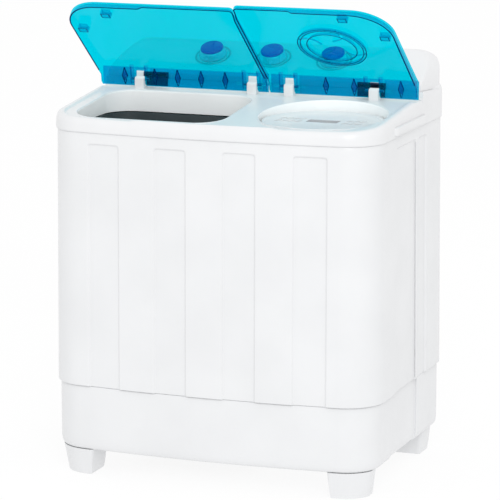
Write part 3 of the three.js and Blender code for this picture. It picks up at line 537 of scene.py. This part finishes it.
def cabinet_skin():
    front_marks = [f + s * FLUTE_HALF for f in FLUTE_CENTRES if f > 0 for s in (-1, 1)]
    side_marks = [y for span in SHELL_RECESSES for y in span]
    columns = perimeter(front_marks, side_marks)
    taper = 0.0033 / (FLUTE_TOP - SHELL_BOTTOM)

    def wall(z, extra=0.0):
        lean = taper * (z - SHELL_BOTTOM) + extra
        return lambda c: lean + panel_relief(c, z, FLUTE_CENTRES, SHELL_RECESSES, FLUTE_TOP)

    rear = 0.001
    fine = spaced(FLUTE_TOP - 0.009, FLUTE_TOP + 0.004, 0.0008)
    heights = spaced(SHELL_BOTTOM + 0.003, FLUTE_TOP - 0.012, 0.016) + fine + spaced(
        FLUTE_TOP + 0.007, SHELL_TOP - 0.001, 0.008)
    rings = [
        ring(columns, wall(SHELL_BOTTOM, 0.0022), SHELL_BOTTOM, rear + 0.0012),
        ring(columns, wall(SHELL_BOTTOM, 0.0011), SHELL_BOTTOM + 0.0003, rear + 0.0006),
        ring(columns, wall(SHELL_BOTTOM, 0.0003), SHELL_BOTTOM + 0.0011, rear + 0.0002)]
    rings += [ring(columns, wall(z), z, rear) for z in heights]
    inner = rear + WALL
    rings += [
        ring(columns, wall(SHELL_TOP, 0.0004), SHELL_TOP - 0.0002, rear + 0.0003),
        ring(columns, wall(SHELL_TOP, 0.001), SHELL_TOP, rear + 0.001),
        ring(columns, wall(SHELL_TOP, WALL), SHELL_TOP, inner),
        ring(columns, wall(FLUTE_TOP + 0.004, WALL), FLUTE_TOP + 0.004, inner),
        ring(columns, wall(FLUTE_TOP - 0.006, WALL), FLUTE_TOP - 0.004, inner),
        ring(columns, wall(SHELL_BOTTOM, WALL), SHELL_BOTTOM, inner)]
    shell = outward(loft("cabinet_skin", rings, wrap=True))
    low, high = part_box("back_panel")
    slack, lip = 0.0004, 0.018
    seat = block(
        "seat", (low.x - slack, high.x + slack), (low.y - slack, 0.22), (low.z - slack, high.z + slack))
    hatch = block("hatch", (low.x + lip, high.x - lip), (0.19, 0.22), (low.z + lip, high.z - lip))
    grooves = []
    for y in [y for span in SHELL_RECESSES for y in span][:3]:
        for side in (-1, 1):
            xs = sorted((side * (WIDTH / 2 - RELIEF - 0.0046), side * 0.31))
            grooves.append(block(
                "groove", xs, (y - 0.0009, y + 0.0009), (SHELL_BOTTOM + 0.004, FLUTE_TOP - 0.004)))
    cut(shell, seat, hatch, *grooves)
    return piece(smoothed(shell), "cabinet", [WHITE], ["cabinet_shell"])


def foot_skin(node):
    """A tapered foot with rounded corners and a soft lower edge."""
    low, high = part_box(node)
    side = 1 if low.x > 0 else -1
    outer = 0.022 if low.y < 0 else 0.010
    radii = (outer, 0.010, 0.005, 0.008) if side > 0 else (0.008, 0.005, 0.010, outer)
    rings = []
    for inset, z in (
            (0.0085, 0), (0.0068, 0.0004), (0.0060, 0.0016), (0.0056, 0.0034), (0.004, 0.014),
            (0.0003, high.z - 0.0002)):
        outline = rounded_box(low.x, high.x, low.y, high.y, radii, inset, steps=8, straight=0.02)
        rings.append(at(outline, low.z + z))
    foot = outward(loft(node + "_skin", rings))
    columns = perimeter()
    under = outward(loft("under", [ring(columns, 0.0172, -0.001), ring(columns, 0.0083, high.z + 0.001)]))
    combine("INTERSECT", foot, [under])
    return piece(smoothed(foot), "cabinet", [WHITE], [node])


base_skin()
cabinet_skin()
for place in ("front_left", "front_right", "rear_left", "rear_right"):
    foot_skin("foot_" + place)


# ---------------------------------------------------------------- top cover
def crest(y):
    return RIM_FRONT + (y + DEPTH / 2) * RIM_SLOPE


def deck(y):
    return crest(y) - DECK_DROP


def plinth_top(y):
    return PLINTH_TOP - PLINTH_FALL * (y - PLINTH_FRONT_Y)


def wash_plan(inset=0.0):
    x0, x1, y0, y1 = WASH_OPENING
    return rounded_box(x0, x1, y0, y1, [WASH_CORNER] * 4, inset, steps=16)


def spin_plan(radius):
    return arc(SPIN.x, SPIN.y, radius, 0, 2 * math.pi, 96)[:-1]


def opening_cutter(name, plan):
    """Cuts through the deck, flared into a soft lip. plan takes how far to widen the opening."""
    lip = 0.003
    rings = [at(plan(0), 0.58), at(plan(0), lambda x, y: deck(y) - lip)]
    for i in range(1, 7):
        angle = math.pi / 2 * i / 6
        grow, rise = lip * (1 - math.cos(angle)), lip * (math.sin(angle) - 1)
        rings.append(at(plan(grow), lambda x, y, rise=rise: deck(y) + rise))
    rings.append(at(plan(lip + 0.0001), lambda x, y: deck(y) + 0.02))
    return outward(loft(name, rings))


def rim_block():
    """The rim's rolled edge and, closing it, the flat deck."""
    columns = perimeter()
    lower = [(0.004, 0.0), (0.0016, 0.0), (0.0010, 0.0009), (0.0009, 0.0027)]
    upper = [
        (0.0010, -0.016), (0.0016, -0.010), (0.0030, -0.0055), (0.0052, -0.0024), (0.0082, -0.0005),
        (0.0110, 0.0), (0.0140, -0.0004), (0.0160, -0.0016), (0.0172, -0.0032), (0.0190, -0.004),
        (0.0240, -0.004)]
    swell = 0.0025  # the rim stands higher along the middle of the front

    def height(drop):
        share = smooth(-DECK_DROP, 0, drop) if drop > -DECK_DROP else (1.0 if drop < -0.009 else 0.6)

        def z(c):
            middle = smooth(0.130, 0.122, abs(c.x + 0.004)) if c.y < -0.15 else 0
            return crest(c.y) + drop + (
                swell * middle * share if drop > -DECK_DROP - 1e-6 and drop != -0.004 else 0)
        return z

    rings = [ring(columns, inset, RIM_BOTTOM + z) for inset, z in lower]
    rings += [ring(columns, inset, height(drop)) for inset, drop in upper]
    return outward(loft("top_cover_skin", rings))


def hinge_post(x):
    half, depth, rise = POST_WIDTH / 2, 0.0075, 0.0045
    outline = [(HINGE.y - depth, 0.638), (HINGE.y + depth, 0.638)]
    outline += [(HINGE.y + depth * y, HINGE.z + rise * z) for y, z in arc(0, 0, 1, 0, math.pi, 16)]
    return bevel(outward(across_x("post", outline, x - half, x + half)), 0.001)


def side_grip(side):
    """A lip with round ends that stands out over a shadow gap."""
    out = WIDTH / 2 + 0.004
    rings = []
    for inset, z in (
            (0.0015, 0.6045), (0.0004, 0.605), (0, 0.6062), (0, 0.6158), (0.0006, 0.6174),
            (0.002, 0.6183), (0.0035, 0.6185)):
        rings.append(at(rounded_box(0.282, out, -0.085, 0.090, (0.012, 0.012, 0.002, 0.002), inset), z))
    lip = outward(loft("grip", rings))
    cut(lip, block("under", (0.270, out - 0.003), (-0.075, 0.080), (0.5975, 0.6135)))
    if side < 0:
        lip.data.transform(Matrix.Scale(-1, 4, (1, 0, 0)))
        lip.data.flip_normals()
    return lip


def top_cover_skin():
    cover = rim_block()
    columns = perimeter()
    edge = [(0.001, -0.0014), (0.0013, -0.0005), (0.0022, 0.0)]
    plinth_rings = [ring(columns, 0.001, 0.615)]
    plinth_rings += [ring(columns, inset, lambda c, d=drop: plinth_top(c.y) + d) for inset, drop in edge]
    plinth = outward(loft("plinth", plinth_rings))
    cut(plinth, block("before", (-0.4, 0.4), (-0.4, PLINTH_FRONT_Y), (0.5, 0.8)))
    under = outward(loft("under", [
        ring(columns, 0.004, 0.59), ring(columns, 0.006, lambda c: deck(c.y) - WALL)]))
    trough = block("trough", (-0.31, 0.31), (HINGE.y - 0.016, HINGE.y + 0.018), (0.643, 0.8))
    well = block("well", (-0.25, 0.25), (PLINTH_FRONT_Y + 0.014, 0.192), (0.60, 0.70))
    joined(cover, plinth)
    cut(cover, trough, under, well)
    thick = 0.003
    wash_collar = outward(loft("wash_collar", [
        at(wash_plan(-thick), COLLAR_BOTTOM), at(wash_plan(-thick), lambda x, y: deck(y) - 0.001)]))
    spin_collar = outward(loft("spin_collar", [
        at(spin_plan(SPIN_OPENING_RADIUS + thick), COLLAR_BOTTOM),
        at(spin_plan(SPIN_OPENING_RADIUS + thick), lambda x, y: deck(y) - 0.001)]))
    joined(cover, wash_collar, spin_collar, *[hinge_post(x) for x in POSTS_X], side_grip(1), side_grip(-1))
    wash_cutter = opening_cutter("wash_cutter", lambda grow: wash_plan(-grow))
    spin_cutter = opening_cutter("spin_cutter", lambda grow: spin_plan(SPIN_OPENING_RADIUS + grow))
    cut(cover, wash_cutter, spin_cutter)
    x0, x1, y0, y1 = WASH_OPENING
    # Painted light: faces of the opening walls below the deck get the brighter wall colour.
    for face in cover.data.polygons:
        x, y, z = face.center
        in_wash = x0 - 0.002 < x < x1 + 0.002 and y0 - 0.002 < y < y1 + 0.002
        in_spin = math.hypot(x - SPIN.x, y - SPIN.y) < SPIN_OPENING_RADIUS + 0.002
        face.material_index = 1 if (in_wash or in_spin) and abs(face.normal.z) < 0.5 and z < deck(y) else 0
    return piece(smoothed(cover), "cabinet", [WHITE, PAINTED_LIGHT_WALL], ["top_cover"])


top_cover_skin()

# ---------------------------------------------------------------- lids
LID_POSE = Matrix.Translation(HINGE) @ Matrix.Rotation(-LID_REST, 4, "X")


def lid_skin(name, node, area, outer, posts, gussets, bumpers, notch_end, extras=()):
    """A lid drawn level about its hinge axis, then raised to its rest angle."""
    x0, x1, front = area
    radii = (0.065, 0.003, 0.003, 0.008) if outer > 0 else (0.008, 0.003, 0.003, 0.065)

    def plan(inset):
        return rounded_box(x0, x1, front, -LID_REAR, radii, inset, steps=14, straight=0.005)

    def hem(x, y):
        depth = 0.001 + (y + LID_REAR) / (front + LID_REAR) * 0.005
        near_front = smooth(front + 0.03, front + 0.01, y)
        notch = smooth(0.004, -0.004, outer * (x - notch_end)) * near_front
        return depth + (0.0095 - depth) * notch

    ceiling = LID_TOP - LID_THICK
    inner = LID_THICK
    inside = [(inner + 0.0020, 0.0), (inner + 0.0009, -0.0003), (inner + 0.0003, -0.0009), (inner, -0.0020)]
    foot = [(inner, 0.0005), (inner - 0.0005, 0.0), (0.0005, 0.0), (0.0, 0.0005)]
    outside = [(0.0, -0.0030), (0.0003, -0.0017), (0.0010, -0.0007), (0.0020, -0.0001), (0.0032, 0.0)]
    rings = [at(plan(inset), ceiling + z) for inset, z in inside]
    rings += [at(plan(inset), lambda x, y, z=z: hem(x, y) + z) for inset, z in foot]
    rings += [at(plan(inset), LID_TOP + z) for inset, z in outside]
    lid = outward(loft(name, rings))
    cut(lid, block("rear", (x0 + LID_THICK, x1 - LID_THICK), (-0.014, 0), (-0.005, ceiling)))

    strip = [
        (-0.0078, LID_TOP - 0.0001), (-0.011, ceiling - 0.0002), (0.0085, -0.008), (0.011, -0.008),
        (-0.0055, LID_TOP - 0.0015)]
    web = [
        (-0.022, ceiling + 0.0005), (-0.020, 0.012), (0.003, -0.0078), (0.0103, -0.0078),
        (-0.008, LID_TOP - 0.001)]
    hair = 0.0001
    parts = [outward(across_x("strip", strip, x0 + hair, x1 - hair))]
    parts += [outward(across_x("end", web, a, b)) for a, b in (
        (x0 + 2 * hair, x0 + LID_THICK + hair), (x1 - LID_THICK - hair, x1 - 2 * hair))]
    parts += [diamond_rib(x) for x in gussets]
    for x in posts:
        for s in (-1, 1):
            near, far = sorted((x + s * (POST_WIDTH / 2 + 0.001), x + s * (POST_WIDTH / 2 + 0.009)))
            knuckle = arc(0, 0, BARREL_RADIUS, 0, 2 * math.pi, 28)[:-1]
            parts.append(outward(across_x("barrel", knuckle, near + hair, far - hair)))
            parts.append(outward(across_x("cheek", web, near, far)))
    for x, y in bumpers:
        cup = block("bumper", (x - 0.008, x + 0.008), (y - 0.0065, y + 0.0065), (0.004, ceiling + 0.0005))
        parts.append(cut(
            cup, block("hollow", (x - 0.0065, x + 0.0065), (y - 0.005, y + 0.005), (0, ceiling - 0.001))))
    joined(lid, *parts, *extras)
    reliefs = [
        block(
            "relief", (x - POST_WIDTH / 2 - 0.001, x + POST_WIDTH / 2 + 0.001),
            (-0.011, 0.02), (-0.012, 0.014))
        for x in posts]
    bore = arc(0, 0, PIN_RADIUS + 0.0004, 0, 2 * math.pi, 24)[:-1]
    bores = [outward(across_x("bore", bore, x - 0.03, x + 0.03)) for x in posts]
    cut(lid, *reliefs, *bores)
    smoothed(lid)
    mark_edges(lid, gussets)
    lid.data.transform(LID_POSE)
    return piece(lid, node, [LID_CLEAR, LID_PAINTED_EDGE_SHADE, LID_RIB], [node])


def diamond_rib(x):
    """A diamond-shaped rib that stands proud of the lid's sloped rear strip."""
    top, bottom, half, proud = Vector((0, -0.0150, 0.0130)), Vector((0, 0.0075, -0.0070)), 0.0052, 0.0032
    away = Vector((0, -0.75, -0.66))
    rings = []
    for t in spaced(0, 1, 0.125):
        middle, width = top.lerp(bottom, t), max(half * (1 - abs(2 * t - 1)), 0.0005)
        root, face = middle - 0.001 * away, middle + proud * away
        rings.append([
            (x - width, root.y, root.z), (x + width, root.y, root.z),
            (x + width, face.y, face.z), (x - width, face.y, face.z)])
    return outward(loft("rib", rings))


def mark_edges(lid, gussets):
    """Narrow faces that look down and the sides of the ribs get a deep navy, painted shade for the dark lines
    at the clear plastic's edges, and the rear strip a middle colour.
    """
    slope = Vector((0, -0.76, -0.65))
    for face in lid.data.polygons:
        corners = [lid.data.vertices[v].co for v in face.vertices]
        round_it = sum((a - b).length for a, b in zip(corners, corners[1:] + corners[:1]))
        thin = 2 * face.area / round_it < 0.0019
        low = min(c.z for c in corners)
        lip = face.normal.z < -0.55 and thin and low < LID_TOP - LID_THICK - 0.001 and face.center.y < -0.02
        near_rear = face.center.y > -0.021
        painted_shade_rib_side = near_rear and abs(face.normal.x) > 0.3 and any(
            abs(face.center.x - x) < 0.006 for x in gussets)
        strip = near_rear and abs(face.normal.dot(slope)) > 0.9
        face.material_index = 1 if lip or painted_shade_rib_side else (2 if strip else 0)


def rosette():
    """Concentric ribs with short leaf-shaped vanes, moulded under the spin lid."""
    centre = Vector((0.168, -0.123, 0))
    low, high = LID_TOP - 0.008, LID_TOP - 0.001
    rings = [
        lathe("ring", [(r, low), (r, high), (r - 0.0016, high), (r - 0.0016, low), (r, low)], centre)
        for r in (0.060, 0.0555, 0.044)]
    vanes = []
    for degrees in (20, 110, 200, 290):
        spine = [(0.018 + 0.040 * t, 0.010 * math.sin(math.pi * t)) for t in spaced(0, 1, 0.1)]
        leaf = [(x, y + 0.0045 * math.sin(math.pi * i / 10)) for i, (x, y) in enumerate(spine)]
        leaf += [(x, y - 0.0012) for x, y in reversed(spine)]
        vane = outward(loft("vane", [at(leaf, low + 0.002), at(leaf, high - 0.0002)]))
        vane.data.transform(Matrix.Translation(centre) @ Matrix.Rotation(math.radians(degrees), 4, "Z"))
        vanes.append(vane)
    return [outward(r) for r in rings] + vanes


lid_skin("wash_lid_skin", "wash_lid", WASH_LID, -1, POSTS_X[:2], (-0.247, -0.190, -0.147, -0.103, -0.058),
         ((-0.2145, -0.208), (-0.274, -0.156)), -0.145)
lid_skin("spin_lid_skin", "spin_lid", SPIN_LID, 1, POSTS_X[2:], (0.127, 0.178, 0.262),
         ((0.214, -0.226), (0.2745, -0.172)), 0.125, rosette())

# ---------------------------------------------------------------- control housing and knobs
def panel_z(y):
    return KNOB_FOOT.z + (y - KNOB_FOOT.y) * math.tan(PANEL_ANGLE)


def control_housing_skin():
    """A sloped panel with rounded end shoulders and a rounded rear."""
    front, rear = PLINTH_FRONT_Y + 0.002, DEPTH / 2 - 0.001
    crest_y, rear_radius, shoulder = 0.184, 0.016, 0.046
    top = panel_z(crest_y)
    side = WIDTH / 2 - 0.0055
    slope = [(y, panel_z(y)) for y in spaced(front + 0.004, crest_y - 0.006, 0.008)]
    nose = [
        (front, 0.640), (front, panel_z(front) - 0.003), (front + 0.0008, panel_z(front) - 0.0008),
        (front + 0.002, panel_z(front) + 0.0004)]
    crown = [
        (crest_y - 0.003, panel_z(crest_y - 0.003) - 0.0002), (crest_y, top - 0.0008),
        (crest_y + 0.003, top - 0.0009)]
    back = list(reversed(
        arc(rear - rear_radius, top - 0.001 - rear_radius, rear_radius, 0, math.pi / 2 - 0.25, 8)))
    profile = nose + slope + crown + back + [(rear, 0.640)]
    start = side - shoulder
    xs = spaced(0, start, 0.012) + [start + shoulder * math.sin(math.pi / 2 * i / 14) for i in range(1, 15)]
    xs = [-x for x in reversed(xs[1:])] + xs
    rings = []
    for x in xs:
        over = max(abs(x) - start, 0)
        limit = top + 0.002 - shoulder + math.sqrt(max(shoulder ** 2 - over ** 2, 0))
        inwards = REAR_RADIUS - math.sqrt(max(REAR_RADIUS ** 2 - max(abs(x) - side + REAR_RADIUS, 0) ** 2, 0))
        section = []
        for y, z in profile:
            soft = 0.004
            height = -soft * math.log(math.exp(-(z - limit) / soft) + 1) + limit if z > limit - 0.03 else z
            section.append((x, min(y, rear - inwards), min(z, height)))
        rings.append(section)
    count = len(profile)
    points = [p for section in rings for p in section]
    faces = []
    for r in range(len(rings) - 1):
        for i in range(count - 1):
            faces.append((r * count + i, (r + 1) * count + i, (r + 1) * count + i + 1, r * count + i + 1))
    last = (len(rings) - 1) * count
    faces.append(tuple(range(count)))
    faces.append(tuple(reversed(range(last, last + count))))
    faces.append(tuple(
        [r * count for r in range(len(rings))]
        + [r * count + count - 1 for r in reversed(range(len(rings)))]))
    housing = outward(solid("control_housing_skin", points, faces))
    below = outward(loft("below", [
        [(-0.4, -0.1, 0.5), (0.4, -0.1, 0.5), (0.4, 0.4, 0.5), (-0.4, 0.4, 0.5)],
        [(x, y, plinth_top(y) + 0.0003) for x, y in ((-0.4, -0.1), (0.4, -0.1), (0.4, 0.4), (-0.4, 0.4))]]))
    gap = 0.0003
    ports = []
    for node in ("wash_inlet", "spin_inlet"):
        low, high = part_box(node)
        ports.append(block("port", (low.x - gap, high.x + gap), (0.07, high.y + 0.001), (0.64, high.z + gap)))
    inner = block("inner", (-0.24, 0.24), (front + 0.02, rear - 0.02), (0.6, 0.672))
    cut(housing, below, inner, *ports)
    return piece(smoothed(housing, 28), "cabinet", [WHITE], ["control_housing"])


def dial_ring_skin(name, x):
    """The low round step in the panel that frames a knob, coloured grey as painted shade round the knob's
    foot.
    """
    pose = Matrix.Translation((x, KNOB_FOOT.y, KNOB_FOOT.z)) @ Matrix.Rotation(PANEL_ANGLE, 4, "X")
    step = outward(lathe(name + "_dial_ring_skin", [
        (0.0322, -0.0004), (0.0322, 0.0006), (0.0316, 0.0012), (0.0296, 0.0012), (0.0290, 0.0006),
        (0.0290, -0.0004), (0.0322, -0.0004)]))
    step.data.transform(pose)
    return piece(smoothed(step), "cabinet", [PAINTED_SHADE])


def knob_skins(name, x):
    pose = Matrix.Translation((x, KNOB_FOOT.y, KNOB_FOOT.z)) @ Matrix.Rotation(PANEL_ANGLE, 4, "X")
    skirt = lathe("skirt", [
        (0, 0.001), (0.0244, 0.001), (0.025, 0.0016), (0.025, 0.0026), (0.0246, 0.0034), (0.0236, 0.006),
        (0.0224, 0.0108), (0.0218, 0.0126), (0.0211, 0.0133), (0.0200, 0.0135), (0, 0.0135)])
    shaft = lathe("shaft", [(0, -0.022), (0.0036, -0.022), (0.0036, 0.005), (0, 0.005)], segments=32)
    skirt.name = name + "_knob_skin"
    joined(outward(skirt), outward(shaft))
    skirt.data.transform(pose)
    piece(smoothed(skirt), name + "_knob", [PEARL], [name + "_knob"])
    cap = outward(lathe(name + "_cap_skin", [
        (0, 0.0138), (0.0203, 0.0138), (0.0203, 0.0160), (0.0200, 0.0170), (0.0193, 0.0177),
        (0.0180, 0.0181), (0, 0.0184)]))
    marker = block("marker", (-0.0011, 0.0011), (0.004, 0.0172), (0.0162, 0.0188))
    joined(cap, bevel(marker, 0.0003, 2))
    cap.data.transform(pose)
    piece(smoothed(cap), name + "_knob", [BLUE], [name + "_knob_cap"])


def inlet_skin(node):
    """A hopper for the water hose, with an apron that hangs down over the riser."""
    low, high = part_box(node)
    face, lip, apron = 0.0768, 0.0020, 0.0135
    hopper = block(node + "_skin", (low.x, high.x), (low.y, high.y), (low.z, high.z))
    front = block(
        "front", (low.x + 0.0001, high.x - 0.0001), (face, low.y + 0.0004),
        (low.z + 0.0001, high.z - 0.0001))
    skirt = block(
        "skirt", (low.x + 0.0002, high.x - 0.0002), (face + 0.0001, 0.0778),
        (low.z - apron, low.z + 0.002))
    joined(hopper, front, skirt)
    cut(hopper, block(
        "mouth", (low.x + lip, high.x - lip), (0.07, high.y - 0.004), (low.z + lip, high.z - lip)))
    return piece(smoothed(hopper), "cabinet", [NAVY], [node])


control_housing_skin()
inlet_skin("wash_inlet")
inlet_skin("spin_inlet")
for name, x in KNOBS.items():
    dial_ring_skin(name, x)
    knob_skins(name, x)


# ---------------------------------------------------------------- tubs and covers
def wash_tub_skin():
    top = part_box("wash_tub")[1].z
    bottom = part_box("wash_tub")[0].z
    outer = [(0.016, 0), (0.010, 0.002), (0.006, 0.007), (0.004, 0.016)]
    rings = [at(wash_plan(inset), bottom + z) for inset, z in outer]
    rings += [
        at(wash_plan(-0.0025), 0.590), at(wash_plan(-0.008), 0.598), at(wash_plan(-0.008), top - 0.0004),
        at(wash_plan(-0.0074), top), at(wash_plan(-0.0006), top), at(wash_plan(0.0), top - 0.0006)]
    floor = [(0.0055, 0.024), (0.0065, 0.016), (0.009, 0.009), (0.014, 0.0045), (0.022, 0.003)]
    rings += [at(wash_plan(inset), bottom + z) for inset, z in floor]
    tub = outward(loft("wash_tub_skin", rings))
    shaft = lathe("hole", [(0, 0.28), (0.0103, 0.28), (0.0103, 0.33), (0, 0.33)], PULSATOR, 48)
    cut(tub, outward(shaft))
    return piece(smoothed(tub), "cabinet", [SLATE], ["wash_tub"])


def pulsator_skin():
    disc = outward(lathe("pulsator_skin", [
        (0, 0.307), (0.073, 0.307), (0.0755, 0.3078), (0.076, 0.309), (0.076, 0.3108), (0.0750, 0.3118),
        (0.060, 0.316), (0.040, 0.3212), (0.022, 0.3262), (0.012, 0.3276), (0, 0.328)], PULSATOR))
    fins = []
    for degrees in (0, 60, 120):
        fin = bevel(block("fin", (-0.070, 0.070), (-0.004, 0.004), (0.309, 0.324)), 0.0018, 4)
        fin.data.transform(Matrix.Translation(PULSATOR) @ Matrix.Rotation(math.radians(degrees), 4, "Z"))
        fins.append(fin)
    joined(disc, *fins)
    return piece(smoothed(disc), "pulsator_train", [WHITE], ["pulsator"])


def balance_ring_skin():
    low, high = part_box("balance_ring")
    body = outward(lathe("balance_ring_skin", [
        (0.088, low.z), (0.103, low.z), (0.105, low.z + 0.004), (0.105, high.z - 0.004),
        (0.1043, high.z - 0.0017), (0.1026, high.z - 0.0003), (0.101, high.z), (0.0886, high.z),
        (0.088, high.z - 0.0006), (0.088, low.z)], SPIN))
    return piece(smoothed(body), "spin_rotor", [WHITE], ["balance_ring"])


def spin_cover_skin():
    """The drop-in cover of the spin basket: a slotted plate with a raised rim and a finger grip."""
    plate = outward(lathe("spin_cover_skin", [
        (0, 0.6165), (0.082, 0.6165), (0.082, 0.610), (0.084, 0.610), (0.084, 0.6163), (0.101, 0.6163),
        (0.1034, 0.6172), (0.104, 0.6186), (0.104, 0.6206), (0.1034, 0.6220), (0.1020, 0.6228),
        (0.1000, 0.623), (0.0982, 0.6226), (0.0966, 0.6212), (0.0950, 0.6205), (0, 0.6205)], SPIN))
    slots = []
    for x in (-0.076, -0.064, -0.052, -0.040, 0.042, 0.054, 0.066):
        for y in (-0.012, 0.014):
            outline = rounded_box(-0.0025, 0.0025, -0.009, 0.009, [0.0024] * 4, steps=5, straight=0.01)
            slot = outward(loft("slot", [at(outline, 0.60), at(outline, 0.64)]))
            slot.data.transform(
                Matrix.Translation((SPIN.x + x, SPIN.y + y, 0)) @ Matrix.Rotation(-0.5, 4, "Z"))
            slots.append(slot)
    well_plan = rounded_box(-0.0275, 0.0275, -0.0135, 0.0135, [0.003] * 4, steps=6)
    cup_plan = rounded_box(-0.030, 0.030, -0.016, 0.016, [0.005] * 4, steps=6)
    well = outward(loft("well", [at(well_plan, 0.6105), at(well_plan, 0.64)]))
    cup = outward(loft("cup", [at(cup_plan, 0.608), at(cup_plan, 0.618)]))
    for part in (well, cup):
        part.data.transform(Matrix.Translation(SPIN))
    joined(plate, cup)
    cut(plate, well, *slots)
    # Painted shade: the finger well's faces get the grey shade colour.
    for face in plate.data.polygons:
        centre = face.center - SPIN
        inside = abs(centre.x) < 0.028 and abs(centre.y) < 0.014 and centre.z < 0.6202
        face.material_index = 1 if inside else 0
    return piece(smoothed(plate), "spin_rotor", [WHITE, PAINTED_SHADE], ["spin_cover"])


wash_tub_skin()
pulsator_skin()
balance_ring_skin()
spin_cover_skin()

# ---------------------------------------------------------------- CAD nodes that stay
SLOT_MATERIALS = {
    "white_plastic": WHITE, "dark_tub": SLATE, "navy_plastic": NAVY, "blue_plastic": BLUE,
    "pearl_plastic": PEARL, "grey_plastic": GREY, "black_rubber": RUBBER, "steel": STEEL,
    "cast_alloy": CAST, "tinted_lid": LID_CLEAR}
for part in frame["record"]["subparts"]:
    node = nodes[part["node"]]
    node.data.materials.clear()
    node.data.materials.append(SLOT_MATERIALS[part["material_slot"]])
    soften = node.modifiers.new("soft_edges", "BEVEL")
    soften.width = 0.0004
    soften.segments = 2
    soften.limit_method = "ANGLE"
    soften.angle_limit = math.radians(50)

# ---------------------------------------------------------------- stage, light and camera
def studio():
    floor = loft("floor", [[(x, y, -0.0005) for x, y in ((-14, -14), (14, -14), (14, 14), (-14, 14))], [
        (x, y, 0.0) for x, y in ((-14, -14), (14, -14), (14, 14), (-14, 14))]])
    ground, tree = new_material("studio_floor")
    matte = tree.nodes.new("ShaderNodeBsdfDiffuse")
    tree.links.new(
        ramp(tree, noise(tree, 1.0), (0.93, 0.93, 0.93), (0.95, 0.95, 0.95)), matte.inputs["Color"])
    glow = tree.nodes.new("ShaderNodeEmission")
    glow.inputs["Strength"].default_value = 1.0
    mixed = tree.nodes.new("ShaderNodeMixShader")
    mixed.inputs["Fac"].default_value = 0.86
    tree.links.new(matte.outputs["BSDF"], mixed.inputs[1])
    tree.links.new(glow.outputs["Emission"], mixed.inputs[2])
    output = tree.nodes.new("ShaderNodeOutputMaterial")
    tree.links.new(mixed.outputs["Shader"], output.inputs["Surface"])
    floor.data.materials.append(ground)
    world = bpy.data.worlds.new("studio")
    world.use_nodes = True
    world.node_tree.nodes["Background"].inputs["Color"].default_value = (1, 1, 1, 1)
    world.node_tree.nodes["Background"].inputs["Strength"].default_value = 1.0
    bpy.context.scene.world = world
    bpy.context.scene.view_settings.view_transform = "Standard"


def softbox(name, place, target, size, power):
    data = bpy.data.lights.new(name, "AREA")
    data.shape = "DISK"
    data.size = size
    data.energy = power
    light = bpy.data.objects.new(name, data)
    light.location = place
    light.rotation_euler = (Vector(target) - Vector(place)).to_track_quat("-Z", "Y").to_euler()
    bpy.context.scene.collection.objects.link(light)


def camera():
    azimuth, elevation = math.radians(20.323), math.radians(11.121)
    right = Vector((math.cos(azimuth), math.sin(azimuth), 0))
    up = Vector((
        -math.sin(azimuth) * math.sin(elevation), math.cos(azimuth) * math.sin(elevation),
        math.cos(elevation)))
    back = right.cross(up)
    target = Vector((0, 0, 0.35)) + 0.00721 * right + 0.02665 * up
    data = bpy.data.cameras.new("camera")
    data.lens = 214.8
    data.sensor_width = 36
    eye = bpy.data.objects.new("camera", data)
    eye.matrix_world = (
        Matrix.Translation(target + 5.18 * back) @ Matrix((right, up, back)).transposed().to_4x4())
    bpy.context.scene.collection.objects.link(eye)
    bpy.context.scene.camera = eye


studio()
softbox("key", (1.7, -3.7, 2.5), (0, 0, 0.35), 2.2, 56)
camera()
